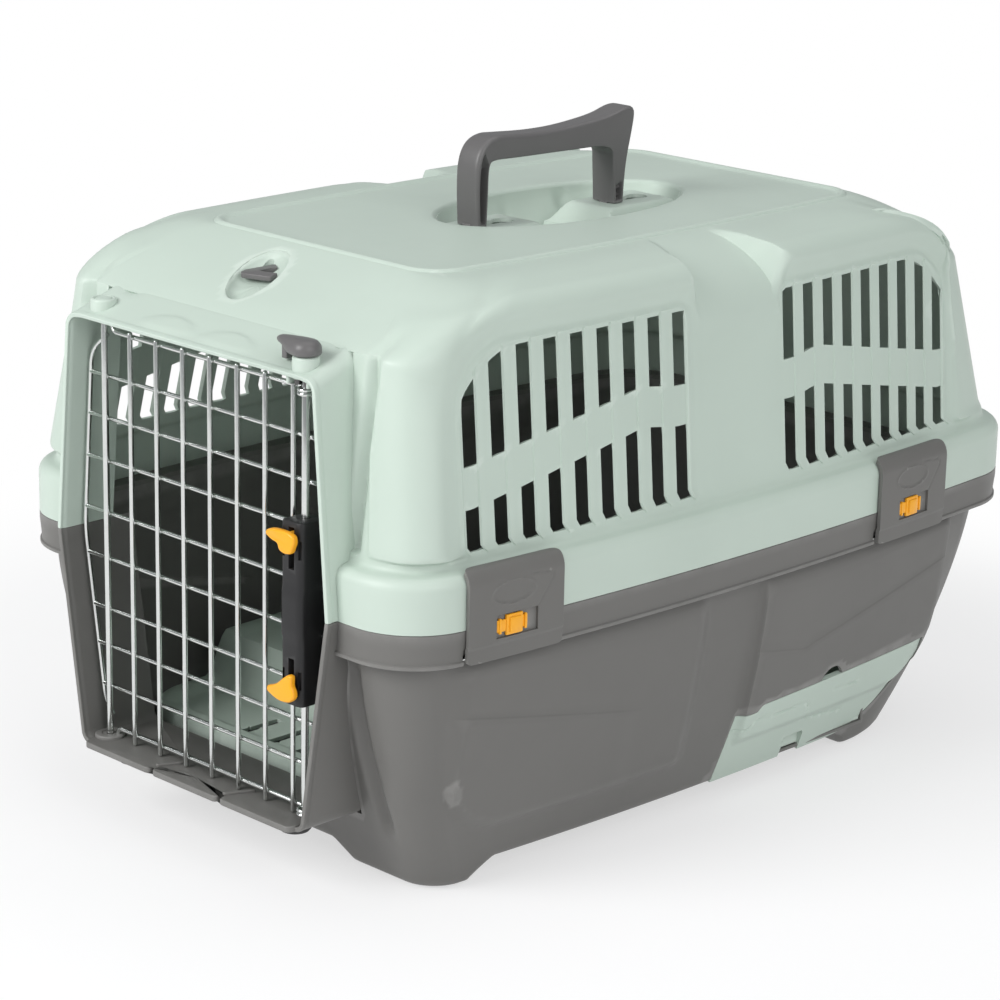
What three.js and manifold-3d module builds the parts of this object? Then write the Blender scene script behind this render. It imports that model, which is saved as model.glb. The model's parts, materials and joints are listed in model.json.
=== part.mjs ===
// Cat carrier: two thin moulded shells, a welded wire door and its latch, handle, clips, tray and drawer
import * as THREE from 'three';
import { mergeVertices } from 'three/addons/utils/BufferGeometryUtils.js';
import Module from 'manifold-3d';

const wasm = await Module();
wasm.setup();

// Driving dimensions in millimetres: x across, y from the door to the back, z up from the ground
const rim = {
  halfWidth: 184.6,
  frontY: -272,
  backY: 275,
  waist: 14.2,
  frontCorner: 43,
  backCorner: 53,
  partingZ: 170,
  skirtBottomZ: 150,
  flangeZ: 201,
  flangeRound: 7,
  skirtWall: 3,
  flangeRoundShare: 0.3,
};

const fit = {
  gap: 0.35,
  slide: 0.6,
  overrun: 4,
  weld: 0.5,
  merge: 0.0001,
};

const tub = {
  wall: 2.3,
  wallInset: 10,
  footInset: 40,
  leanPower: 1.5,
  footHeight: 12,
  bottomRound: 5,
  footFrontReach: 42,
  footBackReach: 92,
  footSlope: 14,
  footSide: 58,
  tongueHeight: 5,
  tongueWall: 2.4,
};

const cover = {
  wall: 2.3,
  footInset: 11,
  footZ: 206,
  footRound: 3,
  wallTopZ: 303,
  wallTopInset: 28,
  frontTopZ: 314,
  frontTopInset: 22,
  roofZ: 347,
  roofHalfWidth: 106,
  roofFrontY: -187,
  roofBackY: 183,
  roofCorner: 24,
  roofStep: 1.6,
  roofStepRun: 2.4,
  wallTopCorner: 31,
  footRiseShare: 0.2,
};

// Raised window fields and lower panels on the sides: where they begin and end along y
const field = {
  frontY: -236,
  frontInnerY: -33,
  backInnerY: 35,
  backY: 213,
  ramp: 9,
  raise: 4.2,
  windowMargin: 8,
  windowDepth: 3.2,
  windowRamp: 5,
  topZ: 325,
  cornerZ: 300,
  cornerRun: 46,
  lowerRaise: 3,
  lowerFrontY: -226,
  lowerInnerY: -38,
  lowerBackInnerY: 33,
  lowerBackY: 214,
  lowerBottomZ: 34,
  lowerRamp: 11,
};

// Ventilation slots in the sides, counted from the outer end of each field towards mid length
const slots = {
  count: 9,
  width: 9.6,
  frontOuterY: -211,
  frontInnerY: -51,
  backInnerY: 45,
  backOuterY: 194,
  bottomZ: 208,
  lowTopOuterZ: 232,
  lowTopInnerZ: 253,
  bandWidth: 23,
  topZ: 314,
  topMargin: 9,
  reach: 9,
};

// Door hood round the front opening
const hood = {
  frontY: -280,
  depth: 39,
  wall: 2.8,
  partingHalfWidth: 118,
  topHalfWidth: 107,
  topZ: 303,
  topCorner: 9,
  sillHalfWidth: 99,
  sillZ: 42,
  sillCorner: 8,
  sillReach: 5,
  sillThick: 3.6,
  sillRib: 2.2,
  sillPetals: 3,
  socketRadius: 9,
  socketHeight: 5,
};

// Wire door, closed; the left pin is its hinge
const door = {
  planeY: -267,
  pinX: -88,
  pinRadius: 2,
  pinTopZ: 307,
  pinBottomZ: 39.5,
  pitch: 23.4,
  verticals: 8,
  wireRadius: 1.55,
  barRadius: 1.3,
  topZ: 292.8,
  bottomZ: 51,
  tailLength: 4,
  edgeX: 111.5,
  edgeTopX: 103,
  edgeBottomX: 95,
  edgeTopZ: 281,
  edgeBottomZ: 68,
  edgeEndRise: 9,
  edgeRadius: 1.5,
  ringRadius: 3.9,
  ringWire: 1.1,
};
// Heights of the cross wires between the lowest and the top one, as shares of that span
const barShares = [0, 0.105, 0.208, 0.303, 0.431, 0.546, 0.677, 0.784, 0.888, 1];

const latch = {
  centreX: 89.5,
  boltY: -270.2,
  boltRadius: 2.3,
  boltTopZ: 299.2,
  boltBottomZ: 46.3,
  width: 16.6,
  frontY: -281.5,
  backY: -261.6,
  bottomZ: 116,
  topZ: 222,
  corner: 2.2,
  wall: 3.4,
  midWall: 4,
  channel: 8.2,
  slotWidth: 4.6,
  slotLength: 24,
  boltTail: 12,
  collar: 7.4,
  collarHeight: 11,
  tabReach: 17,
  tabHeight: 8.5,
  tabThick: 5,
  springRadius: 3.1,
  springWire: 0.55,
  springTurns: 5,
  neckShare: 0.7,
  springEndShare: 1.5,
};

// Keepers for the bolt ends, open to the front
const keeper = {
  wall: 2.6,
  room: 3.6,
  lowerHeight: 5,
};

const knob = {
  bossRadius: 11.5,
  bossHeight: 6,
  stemRadius: 4.2,
  headRadius: 12.5,
  headHeight: 9,
  beakReach: 24,
  beakWidth: 9,
  collarRadius: 6.2,
  collarBore: 3.6,
  collarBottomZ: 296.2,
  collarRoom: 0.6,
  beakRootShare: 0.8,
  beakUnderShare: 0.3,
};

const handle = {
  frontY: -66,
  backY: 72,
  rise: 58,
  rearRise: 63,
  gripThick: 20,
  width: 27,
  legThick: 15,
  legSpread: 9,
  footZ: 341,
  innerCorner: 14,
  bevel: 3,
  hollow: 17,
  hollowWall: 3,
  neckWidth: 7,
  neckLength: 9,
  toeRadius: 6,
  toeThick: 2.4,
};

// Oval hand recess in the roof under the grip
const bowl = {
  centreY: 17,
  halfLength: 95,
  halfWidth: 47,
  depth: 30,
  padFront: 15,
  padSide: 6,
  keyTravel: 26,
};

const scoop = {
  centreX: -12,
  centreY: -215,
  halfLength: 27,
  halfWidth: 21,
  depth: 14,
  holeRadius: 4,
  hookWidth: 15,
  hookThick: 3,
  hookLength: 26,
  rise: 3,
  hookShare: 0.35,
  tipShare: 0.3,
};

// Side clips: plate hooked over the cover's flange, turning on a pin under the tub's rim
const clip = {
  frontY: -201,
  backY: 139,
  width: 76,
  thick: 3.2,
  stand: 0.6,
  pinInset: 4.4,
  pinZ: 152.9,
  pinRadius: 1.5,
  barrelRadius: 2.7,
  barrelLength: 58,
  hookReach: 6.4,
  hookThick: 2.8,
  corner: 7,
  notchTopZ: 159,
  lugThick: 5,
  windowWidth: 30,
  windowHeight: 13,
  windowZ: 169,
  sliderWidth: 15,
  sliderHeight: 7,
  sliderProud: 1.8,
  sliderTravel: 7,
  ribHeight: 1.1,
  ledgeShare: 0.35,
  webShare: 0.2,
};

const tray = {
  gapToWall: 5,
  wall: 2.3,
  frontZ: 44,
  backZ: 71,
  stepY: -150,
  stepRun: 14,
  slotWidth: 6,
  slotLength: 34,
  slotPitch: 24,
  slotRows: 5,
  frontY: -222,
  backY: 226,
  slotFrontY: -204,
  slotBackY: -82,
};

// Storage drawer in the right side under the raised rear floor
const drawer = {
  frontY: 22,
  frontBottomY: 4,
  backY: 194,
  topFrontZ: 54,
  topBackZ: 62,
  bottomZ: 12.6,
  footRiseY: 92,
  footTopY: 160,
  footTopZ: 24,
  tailDrop: 12,
  corner: 8,
  depth: 132,
  wall: 2.4,
  faceThick: 3.6,
  boxBottomZ: 17,
  boxTopZ: 47,
  boxFrontY: 28,
  boxBackY: 150,
  notchWidth: 21,
  notchHeight: 17,
  notchY: 66,
  grooveDepth: 1.2,
  grooveWidth: 2.2,
  grooveInset: 5,
  grooveFootZ: 36,
  gripRadius: 13,
  gripY: 105,
};

const foot = {
  x: 72,
  y: -262,
  radius: 10,
  height: 9,
  stud: 3,
  toeShare: 0.8,
  bevelShare: 0.25,
};

const grid = {
  corner: 4,
  frontColumns: 2,
  backColumns: 2,
  wireSides: 6,
  pinSides: 12,
  roundSides: 16,
};

// Colours of the mouldings and metal
const paint = {
  sage: { color: 0xc5d3c8, roughness: 0.5, metalness: 0 },
  grey: { color: 0x6f706e, roughness: 0.55, metalness: 0 },
  charcoal: { color: 0x4a4b4a, roughness: 0.5, metalness: 0 },
  black: { color: 0x1c1c1d, roughness: 0.45, metalness: 0 },
  amber: { color: 0xf4a51c, roughness: 0.4, metalness: 0 },
  steel: { color: 0xc4c6c8, roughness: 0.25, metalness: 1 },
};

// Small vector helpers
const mix = (a, b, t) => a + (b - a) * t;
const clampShare = (t) => Math.min(1, Math.max(0, t));
const ease = (t) => {
  const s = clampShare(t);
  return s * s * (3 - 2 * s);
};
const halfTurn = Math.PI;
const quarterTurn = Math.PI / 2;

// A closed mesh from rings of points, each ring with as many points, capped by fans at both ends
function loft(rings) {
  const count = rings[0].length;
  const points = [];
  for (const ring of rings) {
    for (const [x, y, z] of ring) points.push(x, y, z);
  }
  const faces = [];
  for (let r = 0; r + 1 < rings.length; r += 1) {
    for (let i = 0; i < count; i += 1) {
      const j = (i + 1) % count;
      const a = r * count + i;
      const b = r * count + j;
      faces.push(a, b, b + count, a, b + count, a + count);
    }
  }
  for (const end of [0, rings.length - 1]) {
    const centre = [0, 0, 0];
    for (const point of rings[end]) {
      for (const axis of [0, 1, 2]) centre[axis] += point[axis] / count;
    }
    const tip = points.length / 3;
    points.push(...centre);
    for (let i = 0; i < count; i += 1) {
      const a = end * count + i;
      const b = end * count + ((i + 1) % count);
      faces.push(...(end === 0 ? [tip, b, a] : [tip, a, b]));
    }
  }
  const geometry = new THREE.BufferGeometry();
  geometry.setAttribute('position', new THREE.Float32BufferAttribute(points, 3));
  geometry.setIndex(faces);
  return solid(geometry);
}

// A manifold solid from any closed three.js geometry, turned right side out
function solid(geometry) {
  let bare = geometry.clone();
  for (const name of ['normal', 'uv']) bare.deleteAttribute(name);
  bare = mergeVertices(bare, fit.merge);
  const place = bare.attributes.position;
  const index = Array.from(bare.index.array);
  const faces = [];
  for (let i = 0; i < index.length; i += 3) {
    const [a, b, c] = index.slice(i, i + 3);
    if (a !== b && b !== c && c !== a) faces.push(a, b, c);
  }
  const point = (i) => new THREE.Vector3().fromBufferAttribute(place, i);
  let volume = 0;
  for (let i = 0; i < faces.length; i += 3) {
    volume += point(faces[i]).dot(point(faces[i + 1]).cross(point(faces[i + 2])));
  }
  if (volume < 0) faces.reverse();
  return new wasm.Manifold(new wasm.Mesh({
    numProp: 3,
    vertProperties: Float32Array.from(place.array),
    triVerts: Uint32Array.from(faces),
  }));
}

// The three.js geometry of a manifold solid
function geometryOf(body) {
  const mesh = body.getMesh();
  const geometry = new THREE.BufferGeometry();
  geometry.setAttribute('position', new THREE.Float32BufferAttribute(mesh.vertProperties, 3));
  geometry.setIndex(Array.from(mesh.triVerts));
  geometry.computeVertexNormals();
  return geometry;
}

const join = (bodies) => bodies.reduce((a, b) => a.add(b));
const cut = (body, tools) => tools.reduce((a, b) => a.subtract(b), body);

// Solids placed by a matrix
function placed(geometry, matrix) {
  return solid(geometry.clone().applyMatrix4(matrix));
}

function block(x0, x1, y0, y1, z0, z1) {
  const box = new THREE.BoxGeometry(x1 - x0, y1 - y0, z1 - z0);
  return placed(box, new THREE.Matrix4().makeTranslation((x0 + x1) / 2, (y0 + y1) / 2, (z0 + z1) / 2));
}

// A round bar between two points
function bar(from, to, radius, sides = grid.wireSides) {
  const a = new THREE.Vector3(...from);
  const b = new THREE.Vector3(...to);
  const geometry = new THREE.CylinderGeometry(radius, radius, a.distanceTo(b), sides);
  const turn = new THREE.Quaternion().setFromUnitVectors(
    new THREE.Vector3(0, 1, 0),
    b.clone().sub(a).normalize(),
  );
  const matrix = new THREE.Matrix4().compose(a.add(b).multiplyScalar(0.5), turn, new THREE.Vector3(1, 1, 1));
  return placed(geometry, matrix);
}

// A round wire along a curve
function wire(curve, radius, steps, sides = grid.wireSides) {
  const profile = new THREE.Shape();
  profile.absarc(0, 0, radius, 0, 2 * halfTurn);
  return solid(new THREE.ExtrudeGeometry(profile, {
    steps,
    extrudePath: curve,
    curveSegments: sides / 2,
  }));
}

// Shapes drawn in a plane and pulled along the axis across it; drawn x and y are named by each caller
function pulledX(shape, x0, x1, options = {}) {
  const geometry = new THREE.ExtrudeGeometry(shape, { depth: x1 - x0, bevelEnabled: false, ...options });
  const matrix = new THREE.Matrix4().makeBasis(
    new THREE.Vector3(0, 1, 0),
    new THREE.Vector3(0, 0, 1),
    new THREE.Vector3(1, 0, 0),
  );
  return placed(geometry, matrix.setPosition(x0, 0, 0));
}

function pulledY(shape, y0, y1, options = {}) {
  const geometry = new THREE.ExtrudeGeometry(shape, { depth: y1 - y0, bevelEnabled: false, ...options });
  const matrix = new THREE.Matrix4().makeBasis(
    new THREE.Vector3(1, 0, 0),
    new THREE.Vector3(0, 0, 1),
    new THREE.Vector3(0, -1, 0),
  );
  return placed(geometry, matrix.setPosition(0, y1, 0));
}

function pulledZ(shape, z0, z1, options = {}) {
  const geometry = new THREE.ExtrudeGeometry(shape, { depth: z1 - z0, bevelEnabled: false, ...options });
  return placed(geometry, new THREE.Matrix4().makeTranslation(0, 0, z0));
}

function polygon(points) {
  return new THREE.Shape(points.map(([x, y]) => new THREE.Vector2(x, y)));
}

// A polygon whose corners are rounded by quadratic curves of the given reach
function softPolygon(points, reach) {
  const shape = new THREE.Shape();
  points.forEach((point, i) => {
    const here = new THREE.Vector2(...point);
    const back = new THREE.Vector2(...points[(i + points.length - 1) % points.length]).sub(here);
    const next = new THREE.Vector2(...points[(i + 1) % points.length]).sub(here);
    const size = Math.min(reach, back.length() / 2, next.length() / 2);
    const start = here.clone().add(back.normalize().multiplyScalar(size));
    const end = here.clone().add(next.normalize().multiplyScalar(size));
    if (i === 0) shape.moveTo(start.x, start.y);
    else shape.lineTo(start.x, start.y);
    shape.quadraticCurveTo(here.x, here.y, end.x, end.y);
  });
  shape.closePath();
  return shape;
}

function ellipsoid(centre, radii, columns = 24, rows = 12) {
  const matrix = new THREE.Matrix4().makeTranslation(...centre).scale(new THREE.Vector3(...radii));
  return placed(new THREE.SphereGeometry(1, columns, rows), matrix);
}

// Plan of the shells: one column of the mesh for each of these places round the rim
const sideHalf = (y) => rim.halfWidth - rim.waist * (y / rim.backY) ** 2;

const sideStations = [
  field.frontY + field.ramp + field.windowMargin,
  field.frontY + field.ramp + field.windowMargin + field.windowRamp,
  field.frontInnerY - field.ramp - field.windowMargin - field.windowRamp,
  field.frontInnerY - field.ramp - field.windowMargin,
  field.frontInnerY - field.ramp,
  field.frontInnerY,
  (field.frontInnerY + field.backInnerY) / 2,
  field.backInnerY,
  field.backInnerY + field.ramp,
  field.backInnerY + field.ramp + field.windowMargin,
  field.backInnerY + field.ramp + field.windowMargin + field.windowRamp,
  field.backY - field.ramp - field.windowMargin - field.windowRamp,
  field.backY - field.ramp - field.windowMargin,
];

function planColumns() {
  const columns = [];
  const half = grid.frontColumns / 2;
  for (let i = 0; i <= half; i += 1) columns.push({ kind: 'front', share: i / half });
  for (let i = 1; i <= grid.corner; i += 1) columns.push({ kind: 'frontCorner', turn: i / grid.corner });
  for (const y of sideStations) columns.push({ kind: 'side', y });
  for (let i = 0; i <= grid.corner; i += 1) columns.push({ kind: 'backCorner', turn: i / grid.corner });
  for (let i = 1; i <= grid.backColumns / 2; i += 1) {
    columns.push({ kind: 'back', share: 1 - (2 * i) / grid.backColumns });
  }
  const right = columns.map((column) => ({ ...column, side: 1 }));
  const left = columns.slice(1, -1).map((column) => ({ ...column, side: -1 })).reverse();
  return [...right, ...left];
}
const columns = planColumns();

// One level of a shell: insets from the rim and heights for its sides, front and back
function level(inset, z) {
  return {
    sideInset: inset,
    frontInset: inset,
    backInset: inset,
    sideZ: z,
    frontZ: z,
    backZ: z,
    frontCorner: Math.max(rim.frontCorner - inset, rim.flangeRound),
    backCorner: Math.max(rim.backCorner - inset, rim.flangeRound),
    squeeze: 0,
  };
}

// The plan point of one column at one level, with its outward direction
function planPoint(column, row) {
  const frontR = row.frontCorner;
  const backR = row.backCorner;
  const frontY = rim.frontY + row.frontInset + frontR;
  const backY = rim.backY - row.backInset - backR;
  const frontX = sideHalf(frontY) - row.sideInset - frontR;
  const backX = sideHalf(backY) - row.sideInset - backR;
  let x;
  let y;
  let z;
  let out;
  if (column.kind === 'front') {
    [x, y, z, out] = [frontX * column.share, rim.frontY + row.frontInset, row.frontZ, [0, -1]];
  } else if (column.kind === 'back') {
    [x, y, z, out] = [backX * column.share, rim.backY - row.backInset, row.backZ, [0, 1]];
  } else if (column.kind === 'frontCorner') {
    const a = column.turn * quarterTurn;
    out = [Math.sin(a), -Math.cos(a)];
    [x, y] = [frontX + frontR * out[0], frontY + frontR * out[1]];
    z = mix(row.frontZ, row.sideZ, ease(column.turn));
  } else if (column.kind === 'backCorner') {
    const a = column.turn * quarterTurn;
    out = [Math.cos(a), Math.sin(a)];
    [x, y] = [backX + backR * out[0], backY + backR * out[1]];
    z = mix(row.sideZ, row.backZ, ease(column.turn));
  } else {
    const first = sideStations[0];
    const last = sideStations[sideStations.length - 1];
    const share = (column.y - first) / (last - first);
    const room = (backY - frontY) / (sideStations.length + 1);
    y = mix(column.y, mix(frontY + room / 2, backY - room / 2, share), row.squeeze);
    [x, z, out] = [sideHalf(y) - row.sideInset, row.sideZ, [1, 0]];
  }
  return { x: x * column.side, y, z, out: [out[0] * column.side, out[1]] };
}

// How far the cover's side stands out at a place: raised fields with sunk windows, a plain pillar between
function fieldShare(y, start, end, ramp) {
  return ease((y - start) / ramp) * ease((end - y) / ramp);
}

function windowShare(y) {
  const inset = field.ramp + field.windowMargin;
  const front = fieldShare(y, field.frontY + inset, field.frontInnerY - inset, field.windowRamp);
  const back = fieldShare(y, field.backInnerY + inset, field.backY - inset, field.windowRamp);
  return front + back;
}

function raisedShare(y) {
  return (
    fieldShare(y, field.frontY, field.frontInnerY, field.ramp) +
    fieldShare(y, field.backInnerY, field.backY, field.ramp)
  );
}

function lowerShare(y, z) {
  return (
    (fieldShare(y, field.lowerFrontY, field.lowerInnerY, field.lowerRamp) +
      fieldShare(y, field.lowerBackInnerY, field.lowerBackY, field.lowerRamp)) *
    ease((z - field.lowerBottomZ) / field.lowerRamp)
  );
}

// How the rows of each wall are spread, and how full the cover's shoulders are: 1 is straight, 2 an ellipse
const wallShares = [0, 0.015, 0.93, 1];
const shoulderShares = [0.25, 0.5, 0.76, 1];
const fullnessShares = { side: 1.65, front: 1.1, back: 1.6, field: 2.7 };

// Height of a raised field's upper edge: it drops towards the outer end of the side
function fieldTopZ(y) {
  const fromFront = (y - field.frontY - field.ramp) / field.cornerRun;
  const fromBack = (field.backY - field.ramp - y) / field.cornerRun;
  return mix(field.cornerZ, field.topZ, clampShare(Math.min(fromFront, fromBack)));
}

// Inset of the cover's leaning side at a height
function coverLean(z) {
  const share = (z - cover.footZ) / (cover.wallTopZ - cover.footZ);
  return mix(cover.footInset, cover.wallTopInset, share);
}

// Run and rise along a rounded shoulder
function shoulderStep(t, fullness) {
  const a = t * quarterTurn;
  return { run: 1 - Math.cos(a) ** (2 / fullness), rise: Math.sin(a) ** (2 / fullness) };
}

function push(point, distance) {
  return [point.x + point.out[0] * distance, point.y + point.out[1] * distance, point.z];
}

// One row of the cover's outer skin; wallShare runs up the wall, shoulderShare over to the roof
function coverRow(wallShare, shoulderShare) {
  const base = {
    sideInset: mix(cover.footInset, cover.wallTopInset, wallShare),
    frontInset: mix(cover.footInset, cover.frontTopInset, wallShare),
    backInset: mix(cover.footInset, cover.wallTopInset, wallShare),
    sideZ: mix(cover.footZ, cover.wallTopZ, wallShare),
    frontZ: mix(cover.footZ, cover.frontTopZ, wallShare),
    backZ: mix(cover.footZ, cover.wallTopZ, wallShare),
    frontCorner: mix(rim.frontCorner - cover.footInset, cover.wallTopCorner, wallShare),
    backCorner: mix(rim.backCorner - cover.footInset, cover.wallTopCorner, wallShare),
    squeeze: ease(shoulderShare),
  };
  const edgeZ = cover.roofZ - cover.roofStep;
  return columns.map((column) => {
    const plain = planPoint(column, { ...base, squeeze: 0 });
    const alongSide = column.kind === 'front' || column.kind === 'back' ? 0 : 1;
    const raised = alongSide * raisedShare(plain.y);
    const topZ = mix(cover.wallTopZ, fieldTopZ(plain.y), raised);
    const side = shoulderStep(shoulderShare, mix(fullnessShares.side, fullnessShares.field, raised));
    const front = shoulderStep(shoulderShare, fullnessShares.front);
    const back = shoulderStep(shoulderShare, fullnessShares.back);
    const wallZ = mix(cover.footZ, topZ, wallShare);
    const row = {
      sideInset: mix(coverLean(wallZ), rim.halfWidth - cover.roofHalfWidth, side.run),
      frontInset: mix(base.frontInset, cover.roofFrontY - rim.frontY, front.run),
      backInset: mix(base.backInset, rim.backY - cover.roofBackY, back.run),
      sideZ: mix(wallZ, edgeZ, side.rise),
      frontZ: mix(base.frontZ, edgeZ, front.rise),
      backZ: mix(base.backZ, edgeZ, back.rise),
      frontCorner: mix(base.frontCorner, cover.roofCorner, shoulderShare),
      backCorner: mix(base.backCorner, cover.roofCorner, shoulderShare),
      squeeze: base.squeeze,
    };
    const sunk = wallShare < 1 ? windowShare(plain.y) : 0;
    const lift = wallShare > 0 ? field.raise * raised * (1 - ease(shoulderShare)) : 0;
    const stand = lift - (wallShare > 0 ? field.windowDepth * sunk : 0);
    return push(planPoint(column, row), stand);
  });
}

const plainRow = (row) => columns.map((column) => push(planPoint(column, row), 0));

// Rows moved along their own normals, inwards for a wall's inner skin
function offsetRows(rows, distance) {
  const at = (r, i) => new THREE.Vector3(...rows[r][(i + rows[r].length) % rows[r].length]);
  return rows.map((row, r) => row.map((point, i) => {
    const along = at(r, i + 1).sub(at(r, i - 1));
    const up = at(Math.min(r + 1, rows.length - 1), i).sub(at(Math.max(r - 1, 0), i));
    const normal = along.cross(up).normalize();
    return [0, 1, 2].map((k) => point[k] - normal.getComponent(k) * distance);
  }));
}

function roofRow(inset, z) {
  const corner = cover.roofCorner - inset;
  return plainRow({
    sideInset: rim.halfWidth - cover.roofHalfWidth + inset,
    frontInset: cover.roofFrontY - rim.frontY + inset,
    backInset: rim.backY - cover.roofBackY + inset,
    sideZ: z,
    frontZ: z,
    backZ: z,
    frontCorner: corner,
    backCorner: corner,
    squeeze: 1,
  });
}

// The cover's thin shell: skirt, flange, leaning walls, shoulders and roof, outside then inside
function coverShell() {
  const edgeZ = rim.partingZ + fit.gap / 2;
  const soft = rim.flangeRound * rim.flangeRoundShare;
  const skirt = [
    plainRow(level(0, edgeZ)),
    plainRow(level(0, rim.flangeZ - rim.flangeRound)),
    plainRow(level(soft, rim.flangeZ - soft)),
    plainRow(level(rim.flangeRound, rim.flangeZ)),
    plainRow(level(cover.footInset - cover.footRound, rim.flangeZ + cover.footRound * cover.footRiseShare)),
  ];
  const walls = wallShares.map((share) => coverRow(share, 0));
  const shoulders = shoulderShares.map((share) => coverRow(1, share));
  const roof = [roofRow(cover.roofStepRun, cover.roofZ)];
  const outer = [...skirt, ...walls, ...shoulders, ...roof];
  const inner = offsetRows([...outer, roofRow(cover.roofStepRun * 2, cover.roofZ)], cover.wall);
  inner.pop();
  inner[0] = plainRow(level(rim.skirtWall, edgeZ));
  return loft([...outer.slice().reverse(), ...inner]);
}

// The front slope that runs from the hood's edge up to the roof
const slopeRise = (cover.roofZ - hood.topZ) / (cover.roofFrontY - hood.frontY);
const slopeZ = (y) => hood.topZ + (y - hood.frontY) * slopeRise;

// Half width of the hood's outside at a height
function hoodHalf(z) {
  return z > rim.partingZ
    ? mix(hood.partingHalfWidth, hood.topHalfWidth, (z - rim.partingZ) / (hood.topZ - rim.partingZ))
    : mix(hood.partingHalfWidth, hood.sillHalfWidth, (rim.partingZ - z) / (rim.partingZ - hood.sillZ));
}

// A collar section at one y: straight leaning cheeks from one height to another with rounded far corners
function collarSection(y, fromZ, toZ, corner, inset) {
  const points = [];
  const steps = 4;
  const up = Math.sign(toZ - fromZ);
  const half = hoodHalf(toZ) - inset;
  for (let i = 0; i <= steps; i += 1) {
    const a = (i / steps) * quarterTurn;
    points.push([half - corner * (1 - Math.cos(a)), toZ - up * corner * (1 - Math.sin(a))]);
  }
  const start = [hoodHalf(fromZ) - inset, fromZ];
  const right = [start, ...points];
  const left = right.map(([x, z]) => [-x, z]).reverse();
  return [...right, ...left].map(([x, z]) => [x, y, z]);
}

function upperCollar(inset, frontY, backY) {
  const fromZ = rim.partingZ + fit.gap / 2 - (inset > 0 ? fit.overrun : 0);
  return loft([frontY, backY].map((y) => (
    collarSection(y, fromZ, slopeZ(y) - inset, hood.topCorner - inset, inset)
  )));
}

function lowerCollar(inset, frontY, backY) {
  const fromZ = rim.partingZ - fit.gap / 2 + (inset > 0 ? fit.overrun + tub.tongueHeight : 0);
  return loft([frontY, backY].map((y) => (
    collarSection(y, fromZ, hood.sillZ + (inset > 0 ? hood.sillThick : 0), hood.sillCorner - inset, inset)
  )));
}

const hoodBackY = hood.frontY + hood.depth;

// Slot outlines in the side walls, as seen from the side
function slotShapes() {
  const shapes = [];
  const groups = [
    { outer: slots.frontOuterY, inner: slots.frontInnerY },
    { outer: slots.backOuterY, inner: slots.backInnerY },
  ];
  for (const { outer, inner } of groups) {
    for (let i = 0; i < slots.count; i += 1) {
      const share = i / (slots.count - 1);
      const y = mix(outer, inner, share);
      const rise = (at) => ease((at - outer) / (inner - outer));
      const lowTop = (at) => mix(slots.lowTopOuterZ, slots.lowTopInnerZ, rise(at));
      const top = (at) => Math.min(slots.topZ, fieldTopZ(at) - slots.topMargin);
      const near = y - slots.width / 2;
      const far = y + slots.width / 2;
      const highBottom = (at) => lowTop(at) + slots.bandWidth;
      shapes.push([[near, slots.bottomZ], [far, slots.bottomZ], [far, lowTop(far)], [near, lowTop(near)]]);
      shapes.push([[near, highBottom(near)], [far, highBottom(far)], [far, top(far)], [near, top(near)]]);
    }
  }
  return shapes;
}

function sideSlots() {
  const inner = rim.halfWidth - coverLean(cover.wallTopZ) - slots.reach;
  const outer = rim.halfWidth + fit.overrun;
  const bodies = [];
  for (const points of slotShapes()) {
    bodies.push(pulledX(polygon(points), inner, outer));
    bodies.push(pulledX(polygon(points), -outer, -inner));
  }
  return bodies;
}

// Bosses over the hinge pin and the lock knob, standing on the front slope
function boss(x, y) {
  const foot = slopeZ(y - knob.bossRadius) - cover.wall;
  const circle = new THREE.Shape();
  circle.absarc(x, y, knob.bossRadius, 0, 2 * halfTurn);
  return pulledZ(circle, foot, slopeZ(y) + knob.bossHeight, { curveSegments: grid.roundSides / 2 });
}
const bossTopZ = slopeZ(latch.boltY) + knob.bossHeight;
const collarTopZ = slopeZ(latch.boltY) - hood.wall - knob.collarRoom;

function roundHole(x, y, radius, z0, z1, sides = grid.roundSides) {
  const circle = new THREE.Shape();
  circle.absarc(x, y, radius, 0, 2 * halfTurn);
  return pulledZ(circle, z0, z1, { curveSegments: sides / 2 });
}

// A keeper block round a bolt end, open towards the front
function keeperBlock(x, y, z0, z1, room) {
  const half = room + keeper.wall;
  const body = block(x - half, x + half, y - room - fit.slide, y + half, z0, z1);
  const mouth = block(x - room, x + room, y - half - fit.overrun, y, z0 - fit.overrun, z1 + fit.overrun);
  const round = roundHole(x, y, room, z0 - fit.overrun, z1 + fit.overrun);
  return body.subtract(mouth).subtract(round);
}

// The hand recess: a bowl cut from the roof, with a wall of its own below it
function bowlSolid(grow) {
  const centre = [0, bowl.centreY, cover.roofZ];
  return ellipsoid(centre, [bowl.halfWidth + grow, bowl.halfLength + grow, bowl.depth + grow], 20, 8);
}

// Pads in the recess that carry the handle's feet, long enough for it to slide back to its round holes
function handlePad(y, grow) {
  const back = y + bowl.keyTravel + handle.toeRadius + bowl.padSide + grow;
  const front = y - bowl.padFront - grow;
  const wide = handle.width / 2 + bowl.padSide + grow;
  const shape = softPolygon([[-wide, front], [wide, front], [wide, back], [-wide, back]], bowl.padSide);
  const topZ = handle.footZ - fit.gap + grow;
  return pulledZ(shape, topZ - bowl.depth, topZ, { curveSegments: 3 });
}

// Keyhole under a leg: a narrow slot with a round hole at its back end
function keyhole(y) {
  const bottomZ = handle.footZ - cover.wall - handle.toeThick - fit.overrun;
  const half = handle.neckWidth / 2 + fit.slide;
  const topZ = cover.roofZ + fit.overrun;
  const backY = y + bowl.keyTravel;
  const slot = block(-half, half, y - handle.neckLength / 2 - fit.slide, backY, bottomZ, topZ);
  const end = roundHole(0, backY, handle.toeRadius + fit.slide, bottomZ, topZ, grid.wireSides * 2);
  return slot.add(end);
}

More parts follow.
